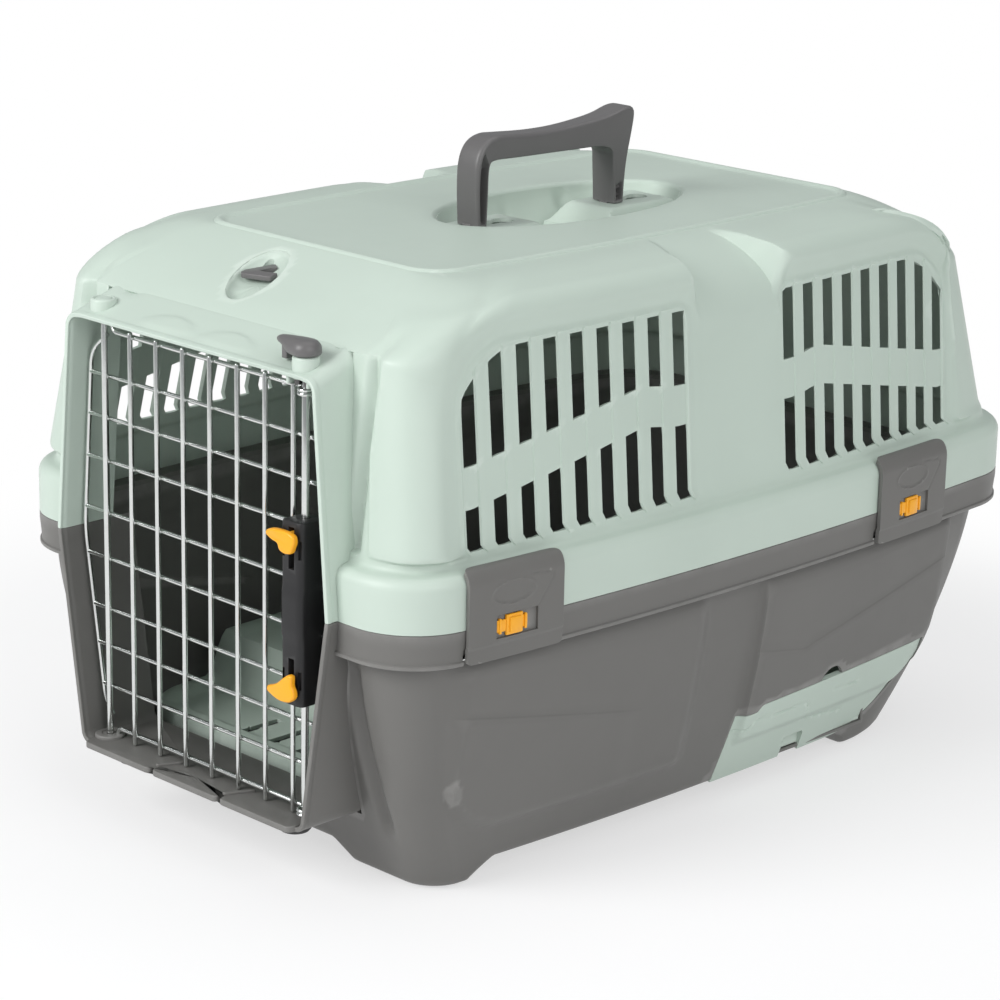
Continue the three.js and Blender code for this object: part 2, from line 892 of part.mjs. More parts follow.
function upperShell() {
  const innerRoom = block(
    -cover.roofHalfWidth, cover.roofHalfWidth, hood.frontY, rim.backY,
    cover.wallTopZ, cover.roofZ - cover.wall / 2,
  );
  const pads = [handle.frontY, handle.backY];
  const recess = cut(bowlSolid(0), pads.map((y) => handlePad(y, 0)));
  const recessWall = bowlSolid(cover.wall).intersect(innerRoom);
  const padRoom = join(pads.map((y) => handlePad(y, -cover.wall)));
  const socket = keeperBlock(
    latch.centreX, latch.boltY, knob.collarBottomZ, slopeZ(latch.boltY), knob.collarRadius + fit.slide,
  );
  const stemHole = roundHole(
    latch.centreX, latch.boltY, knob.stemRadius + fit.gap, knob.collarBottomZ, bossTopZ + fit.overrun,
  );
  const collarHole = roundHole(
    latch.centreX, latch.boltY, knob.collarRadius + fit.slide,
    knob.collarBottomZ - fit.overrun, collarTopZ + fit.slide,
  );
  const pinHole = roundHole(
    door.pinX, door.planeY, door.pinRadius + fit.gap,
    door.topZ, door.pinTopZ + fit.slide, grid.wireSides * 2,
  );
  let body = join([
    coverShell(),
    upperCollar(0, hood.frontY, hoodBackY),
  ]);
  body = body.subtract(upperCollar(hood.wall, hood.frontY - fit.overrun, hoodBackY + fit.overrun));
  body = join([
    body,
    boss(latch.centreX, latch.boltY),
    boss(door.pinX, door.planeY),
    socket,
    recessWall,
  ]);
  body = cut(body, [recess, padRoom, stemHole, collarHole, pinHole, ...pads.map(keyhole), ...sideSlots()]);
  const scoopWall = scoopSolid(cover.wall).intersect(filledCover());
  return cut(body.add(scoopWall), [scoopSolid(0), scoopHole()]);
}

// Everything under the cover's outer surface, used to trim walls that hang below it
function filledCover() {
  return loft([roofRow(cover.roofStepRun * 2, cover.roofZ - cover.wall / 2), ...offsetRows([
    ...shoulderShares.slice().reverse().map((share) => coverRow(1, share)),
    ...wallShares.slice().reverse().map((share) => coverRow(share, 0)),
  ], -cover.wall / 2)]);
}

// Oval scoop in the front slope with a hole behind its strap hook
function scoopSolid(grow) {
  const centre = [scoop.centreX, scoop.centreY, slopeZ(scoop.centreY) + scoop.rise];
  return ellipsoid(centre, [scoop.halfWidth + grow, scoop.halfLength + grow, scoop.depth + grow], 12, 6);
}

function scoopHole() {
  const z = slopeZ(scoop.centreY) - scoop.depth;
  return roundHole(
    scoop.centreX + scoop.halfWidth / 3, scoop.centreY + scoop.halfLength / 2, scoop.holeRadius,
    z - fit.overrun, z + scoop.depth * 2, grid.wireSides,
  );
}

// Inset of the tub's wall at a height: it draws in faster towards the ground
function tubLean(z) {
  const share = clampShare((rim.skirtBottomZ - z) / rim.skirtBottomZ);
  return mix(tub.wallInset, tub.footInset, share ** tub.leanPower);
}

const tubWallTopZ = rim.partingZ - rim.skirtWall;
// Heights of the tub's wall rows as shares of the wall, with the panel's upper and lower ends
const tubWallShares = [0.04, 0.2, 0.28, 0.55, 0.85, 1];

function tubRow(z) {
  const base = level(tubLean(z), z);
  return columns.map((column) => {
    const plain = planPoint(column, base);
    const alongSide = column.kind === 'front' || column.kind === 'back' ? 0 : 1;
    const fade = ease((rim.skirtBottomZ - z) / field.lowerRamp);
    return push(plain, alongSide * fade * field.lowerRaise * lowerShare(plain.y, z));
  });
}

// The tub's outside up to the rim, then the skirt, the tongue and the inside down to the floor
function tubOuterRows() {
  const rows = [plainRow(level(tubLean(0) + tub.bottomRound, 0))];
  for (const share of tubWallShares) rows.push(tubRow(tubWallTopZ * share));
  return rows;
}

function tubShell() {
  const outer = tubOuterRows();
  const topZ = rim.partingZ - fit.gap / 2;
  const tongueInset = rim.skirtWall + fit.gap;
  const edge = [
    level(rim.skirtWall, tubWallTopZ),
    level(rim.skirtWall, rim.skirtBottomZ),
    level(0, rim.skirtBottomZ),
    level(0, topZ),
    level(tongueInset, topZ),
    level(tongueInset, topZ + tub.tongueHeight),
    level(tongueInset + tub.tongueWall, topZ + tub.tongueHeight),
    level(tongueInset + tub.tongueWall, topZ),
    level(tub.wallInset + tub.wall, topZ),
  ].map(plainRow);
  const floorZ = tub.footHeight + tub.wall;
  const inner = offsetRows(outer, tub.wall).slice(2, -1).reverse();
  const floor = [
    plainRow(level(tubLean(floorZ + tub.bottomRound) + tub.wall, floorZ + tub.bottomRound)),
    plainRow(level(tubLean(floorZ) + tub.wall + tub.bottomRound, floorZ)),
  ];
  return loft([...outer, ...edge, ...inner, ...floor]);
}

const filledTub = () => loft([...tubOuterRows(), plainRow(level(tub.wallInset, rim.partingZ))]);

// What is cut away under the floor so that only four corner feet reach the ground
function underCuts() {
  const reach = rim.backY + rim.halfWidth;
  const frontFoot = rim.frontY + tubLean(0) + tub.footFrontReach;
  const backFoot = rim.backY - tubLean(0) - tub.footBackReach;
  const trapezium = (from, to) => polygon([
    [from, -fit.overrun],
    [to, -fit.overrun],
    [to, 0],
    [to - tub.footSlope, tub.footHeight],
    [from + tub.footSlope, tub.footHeight],
    [from, 0],
  ]);
  const half = sideHalf(rim.frontY) - tubLean(0) - tub.footSide;
  return [
    pulledX(trapezium(frontFoot, backFoot), -reach, reach),
    pulledY(trapezium(-half, half), -reach, reach),
  ];
}

// Sill under the door: a shelf with a scalloped front edge
function sillSolid() {
  const frontY = hood.frontY - hood.sillReach;
  const backY = hoodBackY;
  const half = hood.sillHalfWidth - hood.sillCorner;
  const third = (2 * half) / hood.sillPetals;
  const shape = new THREE.Shape();
  shape.moveTo(-half, backY);
  shape.lineTo(-half, hood.frontY);
  for (let i = 0; i < hood.sillPetals; i += 1) {
    const x = -half + i * third;
    shape.quadraticCurveTo(x + third / 2, frontY - hood.sillReach, x + third, hood.frontY);
  }
  shape.lineTo(half, backY);
  shape.closePath();
  const ribs = [];
  for (let i = 1; i < hood.sillPetals; i += 1) {
    const x = -half + i * third;
    ribs.push(bar(
      [x - hood.sillRib * 3, frontY + hood.sillReach, hood.sillZ + hood.sillThick],
      [x + hood.sillRib * 3, hood.frontY + hood.sillReach * 2, hood.sillZ + hood.sillThick],
      hood.sillRib,
    ));
  }
  return join([pulledZ(shape, hood.sillZ, hood.sillZ + hood.sillThick, { curveSegments: 5 }), ...ribs]);
}

// Drawer opening as seen from the side, grown by a clearance
function drawerOutline(grow) {
  return softPolygon([
    [drawer.frontBottomY - grow, drawer.bottomZ - grow],
    [drawer.footRiseY, drawer.bottomZ - grow],
    [drawer.footTopY, drawer.footTopZ - grow],
    [drawer.backY + grow, drawer.topBackZ - drawer.tailDrop],
    [drawer.backY + grow, drawer.topBackZ + grow],
    [drawer.frontY - grow, drawer.topFrontZ + grow],
  ], drawer.corner);
}

// The drawer's box behind its face, grown outwards for the bay that holds it
function drawerBlock(grow, x1) {
  const x0 = drawerBackX - grow;
  return block(
    x0, x1,
    drawer.boxFrontY - grow, drawer.boxBackY + grow,
    drawer.boxBottomZ - grow, drawer.boxTopZ + grow,
  );
}
const drawerBackX = rim.halfWidth - tub.footInset - drawer.depth;

function lowerShell() {
  const filled = filledTub();
  const reach = rim.halfWidth + fit.overrun;
  const faceDepth = drawer.faceThick + fit.gap;
  const bayWalls = drawerBlock(fit.slide + tub.wall, reach).intersect(filled);
  const bay = drawerBlock(fit.slide, reach);
  const faceSeat = pulledX(drawerOutline(fit.gap), 0, reach).subtract(
    filled.translate([-faceDepth, 0, 0]),
  );
  const [pinX, pinY] = [door.pinX, door.planeY];
  const socketTopZ = hood.sillZ + hood.socketHeight;
  const pinSocket = roundHole(pinX, pinY, hood.socketRadius, hood.sillZ, socketTopZ);
  const pinHole = roundHole(
    pinX, pinY, door.pinRadius + fit.gap,
    door.pinBottomZ - fit.slide, socketTopZ + fit.overrun, grid.wireSides * 2,
  );
  const pinSeat = roundHole(pinX, pinY, hood.socketRadius / 2, door.pinBottomZ - tub.wall, hood.sillZ);
  const boltSeatZ = hood.sillZ + hood.sillThick / 2;
  const boltKeeper = keeperBlock(
    latch.centreX, latch.boltY, boltSeatZ, boltSeatZ + keeper.lowerHeight, keeper.room,
  );
  let body = join([tubShell(), lowerCollar(0, hood.frontY, hoodBackY)]);
  body = body.subtract(lowerCollar(hood.wall, hood.frontY - fit.overrun, hoodBackY + fit.overrun));
  body = body.subtract(upperCollar(-fit.gap, hood.frontY - fit.overrun, hoodBackY + fit.overrun));
  const lugs = clipPlaces.flatMap(clipLugs);
  body = join([body, sillSolid(), bayWalls, pinSocket, pinSeat, boltKeeper, ...lugs]);
  body = cut(body, [
    bay,
    faceSeat,
    pinHole,
    gripNotch(),
    ...underCuts(),
    ...clipPlaces.flatMap(clipCuts),
    ...footPlaces.map((place) => footHole(place)),
  ]);
  return body;
}

// Half-round finger notch in the wall above the drawer
function gripNotch() {
  const along = (drawer.gripY - drawer.frontY) / (drawer.backY - drawer.frontY);
  const z = mix(drawer.topFrontZ, drawer.topBackZ, along);
  const circle = new THREE.Shape();
  circle.absarc(drawer.gripY, z, drawer.gripRadius, 0, 2 * halfTurn);
  const reach = rim.halfWidth + fit.overrun;
  return pulledX(circle, 0, reach, { curveSegments: grid.roundSides / 2 })
    .subtract(filledTub().translate([-tub.wall / 2, 0, 0]));
}

// Feet pressed into the sill's underside and the tub
const footPlaces = [-1, 1].map((side) => [side * foot.x, foot.y]);

function footHole([x, y]) {
  return roundHole(x, y, foot.stud + fit.gap, hood.sillZ - fit.overrun, hood.sillZ + hood.sillThick / 2);
}

function footSolid([x, y]) {
  const top = hood.sillZ - fit.gap;
  const profile = [
    [0, top - foot.height],
    [foot.radius * foot.toeShare, top - foot.height],
    [foot.radius, top - foot.height * (1 - foot.bevelShare)],
    [foot.radius, top],
    [foot.stud, top],
    [foot.stud, hood.sillZ + hood.sillThick / 2 - fit.gap],
    [0, hood.sillZ + hood.sillThick / 2 - fit.gap],
  ].map(([r, z]) => new THREE.Vector2(r, z));
  const turned = new THREE.LatheGeometry(profile, grid.roundSides);
  return placed(turned, new THREE.Matrix4().makeRotationX(quarterTurn).setPosition(x, y, 0));
}

// Clip places: middle of the clip on the rim and the rim's direction there
const clipPlaces = [clip.frontY, clip.backY].flatMap((y) => [1, -1].map((side) => {
  const slope = (-2 * rim.waist * y) / rim.backY ** 2;
  const matrix = new THREE.Matrix4().makeRotationZ(-Math.atan(slope));
  if (side < 0) matrix.premultiply(new THREE.Matrix4().makeScale(-1, 1, 1));
  const name = `${y < 0 ? 'front' : 'rear'}_${side > 0 ? 'right' : 'left'}`;
  return { name, side, y, matrix: matrix.setPosition(side * sideHalf(y), y, 0) };
}));

// Solids made beside a straight rim, with x out from it and y along it, moved to a clip's place
function atClip(place, body) {
  return body.transform(place.matrix.toArray());
}

function barrel(radius, from, to, sides = grid.wireSides + 2) {
  return bar([-clip.pinInset, from, clip.pinZ], [-clip.pinInset, to, clip.pinZ], radius, sides);
}

function clipLugs(place) {
  const near = clip.width / 2 + fit.slide;
  return [-1, 1].map((end) => {
    const y0 = Math.min(end * near, end * (near + clip.lugThick));
    return atClip(place, block(
      -tub.wallInset - tub.wall / 2, -rim.skirtWall / 2,
      y0, y0 + clip.lugThick,
      rim.skirtBottomZ + fit.gap, tubWallTopZ + rim.skirtWall / 2,
    ));
  });
}

function clipCuts(place) {
  const half = clip.width / 2 + fit.slide;
  const pinHalf = half + clip.lugThick - fit.gap;
  return [
    block(
      -rim.skirtWall - fit.slide * 2, rim.skirtWall,
      -half, half,
      rim.skirtBottomZ - fit.overrun, clip.notchTopZ,
    ),
    barrel(clip.pinRadius + fit.gap, -pinHalf - fit.gap, pinHalf + fit.gap),
  ].map((body) => atClip(place, body));
}

// The clip: plate, hook over the flange, barrel round the pin and the window for its slider
function clipSolid() {
  const half = clip.width / 2;
  const face = softPolygon([
    [-half, rim.skirtBottomZ],
    [half, rim.skirtBottomZ],
    [half, rim.flangeZ + clip.hookThick],
    [-half, rim.flangeZ + clip.hookThick],
  ], clip.corner);
  const plate = pulledX(face, clip.stand, clip.stand + clip.thick, { curveSegments: 3 });
  const hook = block(
    -clip.hookReach, clip.stand + clip.thick / 2,
    -half + clip.corner, half - clip.corner,
    rim.flangeZ + fit.slide, rim.flangeZ + fit.slide + clip.hookThick - fit.gap,
  );
  const lip = block(
    clip.stand, clip.stand + clip.thick + clip.ribHeight,
    -half + clip.corner, half - clip.corner,
    rim.flangeZ - clip.hookThick, rim.flangeZ + clip.hookThick - fit.gap,
  );
  const tube = barrel(clip.barrelRadius, -clip.barrelLength / 2, clip.barrelLength / 2);
  const web = block(
    -clip.pinInset, clip.stand + clip.thick / 2,
    -clip.barrelLength / 2, clip.barrelLength / 2,
    clip.pinZ - clip.barrelRadius, clip.pinZ - clip.barrelRadius * clip.webShare,
  );
  const bore = barrel(clip.pinRadius + fit.gap, -half, half);
  const window = block(
    clip.stand - fit.overrun / 2, clip.stand + clip.thick + fit.overrun,
    -clip.windowWidth / 2, clip.windowWidth / 2,
    clip.windowZ - clip.windowHeight / 2, clip.windowZ + clip.windowHeight / 2,
  ).subtract(block(
    clip.stand - fit.overrun, clip.stand + clip.thick * clip.ledgeShare,
    -clip.windowWidth, clip.windowWidth,
    clip.windowZ - clip.windowHeight, clip.windowZ + clip.windowHeight,
  ));
  return cut(join([plate, hook, lip, tube, web]), [bore, window]);
}

function clipPin() {
  const half = clip.width / 2 + fit.slide + clip.lugThick - fit.gap;
  return barrel(clip.pinRadius, -half, half);
}

// The small lock in the clip's window, sliding along the rim
function clipSlider() {
  const x0 = clip.stand + clip.thick * clip.ledgeShare + fit.gap;
  const middle = -clip.sliderTravel / 2;
  const half = clip.sliderWidth / 2;
  const bodyX = clip.stand + clip.thick + clip.sliderProud;
  const base = block(
    x0, clip.stand + clip.thick,
    middle - half, middle + half,
    clip.windowZ - clip.windowHeight / 2 + fit.gap, clip.windowZ + clip.windowHeight / 2 - fit.gap,
  );
  const grip = block(
    x0, bodyX, middle - half / 2, middle + half,
    clip.windowZ - clip.sliderHeight / 2, clip.windowZ + clip.sliderHeight / 2,
  );
  return join([base, grip]);
}

// Wire door
const ringZs = [door.topZ, door.bottomZ];
const barZ = (share) => mix(door.bottomZ, door.topZ, share);
const wireX = (i) => door.pinX + i * door.pitch;
const barY = door.planeY + door.wireRadius + door.barRadius - fit.weld;

// Half width of the outer bent wire at a height
function edgeHalf(z) {
  if (z > rim.partingZ) {
    return mix(door.edgeX, door.edgeTopX, (z - rim.partingZ) / (door.edgeTopZ - rim.partingZ));
  }
  return mix(door.edgeX, door.edgeBottomX, (rim.partingZ - z) / (rim.partingZ - door.edgeBottomZ));
}

function edgeWire(side) {
  const y = barY;
  const places = [
    [-door.pinX, door.edgeTopZ + door.edgeEndRise],
    [door.edgeTopX, door.edgeTopZ],
    [door.edgeX, rim.partingZ],
    [door.edgeBottomX, door.edgeBottomZ],
    [-door.pinX, door.edgeBottomZ - door.edgeEndRise],
  ].map(([x, z]) => [side * x, y, z]);
  return join(places.slice(1).map((to, i) => bar(places[i], to, door.edgeRadius, grid.wireSides)));
}

function doorSolid() {
  const pinAt = (z) => [door.pinX, door.planeY, z];
  const parts = [bar(pinAt(door.pinBottomZ), pinAt(door.pinTopZ), door.pinRadius, grid.pinSides)];
  for (let i = 1; i < door.verticals; i += 1) {
    const x = wireX(i);
    parts.push(bar(
      [x, door.planeY, door.bottomZ - door.tailLength], [x, door.planeY, door.topZ + door.tailLength / 2],
      door.wireRadius,
    ));
  }
  for (const share of barShares) {
    const z = barZ(share);
    const short = share === 0 || share === 1;
    const half = short ? -door.pinX + door.barRadius : edgeHalf(z);
    parts.push(bar([-half, barY, z], [half, barY, z], door.barRadius));
  }
  for (const side of [-1, 1]) parts.push(edgeWire(side));
  for (const z of ringZs) parts.push(eyeRing(z));
  return join(parts);
}

// Eye of the wire that guides a bolt
function eyeRing(z) {
  const torus = new THREE.TorusGeometry(door.ringRadius, door.ringWire, 6, 14);
  return placed(torus, new THREE.Matrix4().makeTranslation(latch.centreX, latch.boltY, z));
}

// Latch housing clamped on the door's cross wires, with a channel for the two bolts
const latchMiddleZ = (latch.bottomZ + latch.topZ) / 2;

function latchHousing() {
  const half = latch.width / 2;
  const outline = softPolygon([
    [latch.centreX - half, latch.frontY],
    [latch.centreX + half, latch.frontY],
    [latch.centreX + half, latch.backY],
    [latch.centreX - half, latch.backY],
  ], latch.corner);
  const body = pulledZ(outline, latch.bottomZ, latch.topZ, { curveSegments: 3 });
  const channelHalf = latch.channel / 2;
  const boltHole = (z0, z1) => roundHole(latch.centreX, latch.boltY, latch.boltRadius + fit.gap, z0, z1);
  const holes = [
    boltHole(latch.bottomZ - fit.overrun, latch.bottomZ + latch.wall * 2),
    boltHole(latch.topZ - latch.wall * 2, latch.topZ + fit.overrun),
  ];
  for (const up of [-1, 1]) {
    const near = latchMiddleZ + (up * latch.midWall) / 2;
    const far = up > 0 ? latch.topZ - latch.wall : latch.bottomZ + latch.wall;
    holes.push(block(
      latch.centreX - channelHalf, latch.centreX + channelHalf,
      latch.boltY - channelHalf, latch.boltY + channelHalf,
      Math.min(near, far), Math.max(near, far),
    ));
    const slotEnd = far - up * latch.slotLength;
    holes.push(block(
      latch.centreX - latch.slotWidth / 2, latch.centreX + latch.slotWidth / 2,
      latch.frontY - fit.overrun, latch.boltY,
      Math.min(slotEnd, far), Math.max(slotEnd, far),
    ));
  }
  for (const share of barShares) {
    const z = barZ(share);
    if (z < latch.bottomZ - door.barRadius * 2 || z > latch.topZ + door.barRadius * 2) continue;
    const from = [latch.centreX - latch.width, barY, z];
    const to = [latch.centreX + latch.width, barY, z];
    holes.push(bar(from, to, door.barRadius + fit.gap));
  }
  return cut(body, holes);
}

// Outline of a tab's wing: across as shares of the housing's width or the tab's reach, then up its height
const wingShares = [
  [0.5, 0.25],
  [0.5, 1],
  [-0.45, 1],
  [-1, 0.7],
  [-1, 0.2],
  [-0.45, 0],
  [0, 0],
];

// A sprung bolt: up is 1 for the upper one and -1 for the lower one
function boltParts(up) {
  const far = up > 0 ? latch.topZ - latch.wall : latch.bottomZ + latch.wall;
  const tip = up > 0 ? latch.boltTopZ : latch.boltBottomZ;
  const stopZ = far - up * fit.slide;
  const collarZ = stopZ - up * latch.collarHeight;
  const boltAt = (z) => [latch.centreX, latch.boltY, z];
  const rod = bar(boltAt(collarZ - up * latch.boltTail), boltAt(tip), latch.boltRadius, grid.pinSides);
  const neckFrom = boltAt(collarZ - up * fit.overrun);
  const neckTo = boltAt(stopZ + up * fit.overrun);
  const groove = block(
    latch.centreX - latch.collar, latch.centreX + latch.collar,
    latch.boltY - latch.collar, latch.boltY + latch.collar,
    Math.min(collarZ, stopZ), Math.max(collarZ, stopZ),
  ).subtract(bar(neckFrom, neckTo, latch.boltRadius * latch.neckShare, grid.pinSides));
  const bolt = rod.subtract(groove);
  const half = latch.collar / 2;
  const lowZ = Math.min(collarZ, stopZ) + fit.gap;
  const highZ = Math.max(collarZ, stopZ) - fit.gap;
  const hub = block(
    latch.centreX - half, latch.centreX + half, latch.boltY - half, latch.boltY + half, lowZ, highZ,
  );
  const stemHalf = latch.slotWidth / 2 - fit.gap;
  const stem = block(
    latch.centreX - stemHalf, latch.centreX + stemHalf,
    latch.frontY - latch.tabThick / 2, latch.boltY,
    lowZ, lowZ + latch.tabHeight,
  );
  const wing = pulledY(
    softPolygon(wingShares.map(([across, rise]) => [
      latch.centreX + (across > 0 ? across * latch.width : across * latch.tabReach),
      lowZ + rise * latch.tabHeight,
    ]), latch.corner),
    latch.frontY - fit.slide - latch.tabThick, latch.frontY - fit.slide, { curveSegments: 3 },
  );
  const bore = bar(neckFrom, neckTo, latch.boltRadius * latch.neckShare + fit.gap, grid.pinSides);
  const tab = join([hub, stem, wing]).subtract(bore);
  const springFrom = latchMiddleZ + up * (latch.midWall / 2 + fit.gap);
  const springTo = collarZ - up * fit.gap * 2;
  return { bolt, tab, spring: springSolid(springFrom, springTo) };
}

// Compression spring round the inner end of a bolt
function springSolid(fromZ, toZ) {
  const end = Math.sign(toZ - fromZ) * latch.springWire * latch.springEndShare;
  class Helix extends THREE.Curve {
    getPoint(t, target = new THREE.Vector3()) {
      const a = t * latch.springTurns * 2 * halfTurn;
      const z = mix(fromZ + end, toZ - end, t);
      return target.set(
        latch.centreX + latch.springRadius * Math.cos(a), latch.boltY + latch.springRadius * Math.sin(a), z,
      );
    }
  }
  return wire(new Helix(), latch.springWire, latch.springTurns * 8, 4);
}

// Lock knob: beaked head on the boss, stem and a C-shaped collar round the upper bolt's end
function knobSolid() {
  const bottomZ = bossTopZ + fit.gap;
  const topZ = bottomZ + knob.headHeight;
  const beak = softPolygon([
    [0, -knob.headRadius * knob.beakRootShare],
    [0, knob.headRadius * knob.beakRootShare],
    [-knob.beakReach, knob.beakWidth / 2],
    [-knob.beakReach, -knob.beakWidth / 2],
  ].map(([x, y]) => [latch.centreX + x, latch.boltY + y]), knob.beakWidth / 3);
  const head = roundHole(latch.centreX, latch.boltY, knob.headRadius, bottomZ, topZ);
  const stem = roundHole(latch.centreX, latch.boltY, knob.stemRadius, latch.boltTopZ + fit.slide, topZ);
  const collar = roundHole(latch.centreX, latch.boltY, knob.collarRadius, knob.collarBottomZ, collarTopZ);
  const bore = roundHole(
    latch.centreX, latch.boltY, knob.collarBore,
    knob.collarBottomZ - fit.overrun, latch.boltTopZ + fit.slide,
  );
  const half = knob.collarBore;
  const mouth = block(
    latch.centreX - half, latch.centreX + half, latch.boltY - knob.collarRadius * 2, latch.boltY,
    knob.collarBottomZ - fit.overrun, latch.boltTopZ + fit.slide,
  );
  const beakSolid = pulledZ(beak, mix(bottomZ, topZ, knob.beakUnderShare), topZ);
  return cut(join([head, beakSolid, stem, collar]), [bore, mouth]);
}

// Carrying handle: a moulded arch, hollow below the grip, with toes under the keyholes
function handleSolid() {
  const z0 = handle.footZ;
  const legs = handle.legThick;
  const topZ = z0 + handle.rise;
  const rearTopZ = z0 + handle.rearRise;
  const outer = softPolygon([
    [handle.frontY - legs / 2, z0],
    [handle.frontY + legs / 2, z0],
    [handle.frontY + legs / 2 + handle.legSpread, topZ - handle.gripThick],
    [handle.backY - legs / 2 - handle.legSpread, rearTopZ - handle.gripThick],
    [handle.backY - legs / 2, z0],
    [handle.backY + legs / 2, z0],
    [handle.backY + legs / 2, rearTopZ],
    [handle.frontY + handle.legSpread, topZ],
  ], handle.innerCorner);
  const inset = handle.bevel;
  const arch = pulledX(outer, -handle.width / 2 + inset, handle.width / 2 - inset, {
    bevelEnabled: true,
    bevelSize: inset,
    bevelThickness: inset,
    bevelOffset: -inset,
    bevelSegments: 2,
    curveSegments: 4,
  });
  const trough = block(
    -handle.hollow / 2, handle.hollow / 2,
    handle.frontY + legs / 2 + handle.legSpread, handle.backY - legs / 2 - handle.legSpread,
    topZ - handle.gripThick - handle.hollowWall * 2, topZ - handle.hollowWall * 2,
  );
  const underZ = z0 - fit.gap * 2 - cover.wall;
  const toes = [handle.frontY, handle.backY].flatMap((y) => [
    block(
      -handle.neckWidth / 2, handle.neckWidth / 2, y - handle.neckLength / 2, y + handle.neckLength / 2,
      underZ - handle.toeThick, z0 + fit.weld,
    ),
    roundHole(0, y, handle.toeRadius, underZ - handle.toeThick, underZ, grid.wireSides * 2),
  ]);
  return join([arch, ...toes]).subtract(trough);
}

// Strap hook in the scoop: two arms that meet in a point towards the door, their ends against its wall
function hookSolid() {
  const z = slopeZ(scoop.centreY) - scoop.depth * scoop.hookShare;
  const [x, y] = [scoop.centreX, scoop.centreY];
  const half = scoop.hookWidth / 2;
  const tipY = y - scoop.hookLength / 2;
  const backY = y + scoop.halfLength;
  const arms = polygon([
    [x - scoop.halfWidth, backY],
    [x - half * scoop.tipShare, tipY],
    [x + half * scoop.tipShare, tipY],
    [x + scoop.halfWidth, backY],
    [x + scoop.halfWidth - half, backY],
    [x, tipY + half],
    [x - scoop.halfWidth + half, backY],
  ]);
  return pulledZ(arms, z, z + scoop.hookThick).intersect(scoopSolid(-fit.gap));
}

// Plan of the tray inside the tub's walls, drawn in by an inset
function trayOutline(inset, floorZ) {
  const corners = [
    [-1, tray.frontY + inset],
    [1, tray.frontY + inset],
    [1, tray.backY - inset],
    [-1, tray.backY - inset],
  ];
  const halfAt = (y) => sideHalf(y) - tubLean(floorZ) - tub.wall - tray.gapToWall - inset;
  const points = corners.map(([side, y]) => [side * halfAt(y), y]);
  return softPolygon(points, rim.frontCorner - tray.gapToWall - inset);
}

// Floor tray in two levels, with drain slots
function traySolid() {
  const floorBottom = tub.footHeight + tub.wall + fit.gap;
  const profile = polygon([
    [tray.frontY - fit.overrun, floorBottom],
    [tray.backY + fit.overrun, floorBottom],
    [tray.backY + fit.overrun, tray.backZ],
    [tray.stepY + tray.stepRun, tray.backZ],
    [tray.stepY, tray.frontZ],
    [tray.frontY - fit.overrun, tray.frontZ],
  ]);
  const insideProfile = polygon([
    [tray.frontY - fit.overrun * 2, floorBottom - fit.overrun],
    [tray.backY + fit.overrun * 2, floorBottom - fit.overrun],
    [tray.backY + fit.overrun * 2, tray.backZ - tray.wall],
    [tray.stepY + tray.stepRun + tray.wall / 2, tray.backZ - tray.wall],
    [tray.stepY + tray.wall, tray.frontZ - tray.wall],
    [tray.frontY - fit.overrun * 2, tray.frontZ - tray.wall],
  ]);
  const reach = rim.halfWidth;
  const body = pulledZ(trayOutline(0, floorBottom), 0, rim.partingZ, { curveSegments: 4 })
    .intersect(pulledX(profile, -reach, reach));
  const hollow = pulledZ(trayOutline(tray.wall, floorBottom), 0, rim.partingZ, { curveSegments: 4 })
    .intersect(pulledX(insideProfile, -reach, reach));
  const holes = [];
  for (let i = 0; i < tray.slotRows; i += 1) {
    const x = (i - (tray.slotRows - 1) / 2) * tray.slotPitch;
    for (const y of [tray.slotFrontY, tray.slotBackY]) {
      const half = tray.slotWidth / 2;
      holes.push(block(x - half, x + half, y, y + tray.slotLength, 0, rim.partingZ));
    }
  }
  const bayRoom = drawerBlock(fit.slide * 2 + tub.wall, rim.halfWidth);
  return cut(body, [hollow, bayRoom, ...holes]);
}

// Side drawer: a face that follows the tub's wall and an open box behind it
function drawerSolid() {
  const filled = filledTub();
  const reach = rim.halfWidth + fit.overrun;
  const face = pulledX(drawerOutline(0), 0, reach).intersect(filled)
    .subtract(filled.translate([-drawer.faceThick, 0, 0]));
  const inside = filled.translate([-drawer.faceThick / 2, 0, 0]);
  const box = drawerBlock(0, reach).intersect(inside);
  const room = block(
    drawerBackX + drawer.wall, reach,
    drawer.boxFrontY + drawer.wall, drawer.boxBackY - drawer.wall,
    drawer.boxBottomZ + drawer.wall, drawer.boxTopZ + fit.overrun,
  ).intersect(filled.translate([-drawer.faceThick, 0, 0]));
  const notch = block(
    0, reach, drawer.notchY, drawer.notchY + drawer.notchWidth,
    drawer.bottomZ - fit.overrun, drawer.bottomZ + drawer.notchHeight,
  ).subtract(filled.translate([-drawer.faceThick / 2, 0, 0]));
  const groove = pulledX(drawerOutline(-drawer.grooveInset), 0, reach)
    .subtract(pulledX(drawerOutline(-drawer.grooveInset - drawer.grooveWidth), 0, reach))
    .subtract(filled.translate([-drawer.grooveDepth, 0, 0]))
    .subtract(block(0, reach, rim.frontY, rim.backY, 0, drawer.grooveFootZ));
  return cut(join([face, box]), [room, notch, groove]);
}

const carrier = new THREE.Group();

function add(name, body, look) {
  const mesh = new THREE.Mesh(geometryOf(body), new THREE.MeshStandardMaterial(paint[look]));
  mesh.name = name;
  carrier.add(mesh);
  return mesh;
}

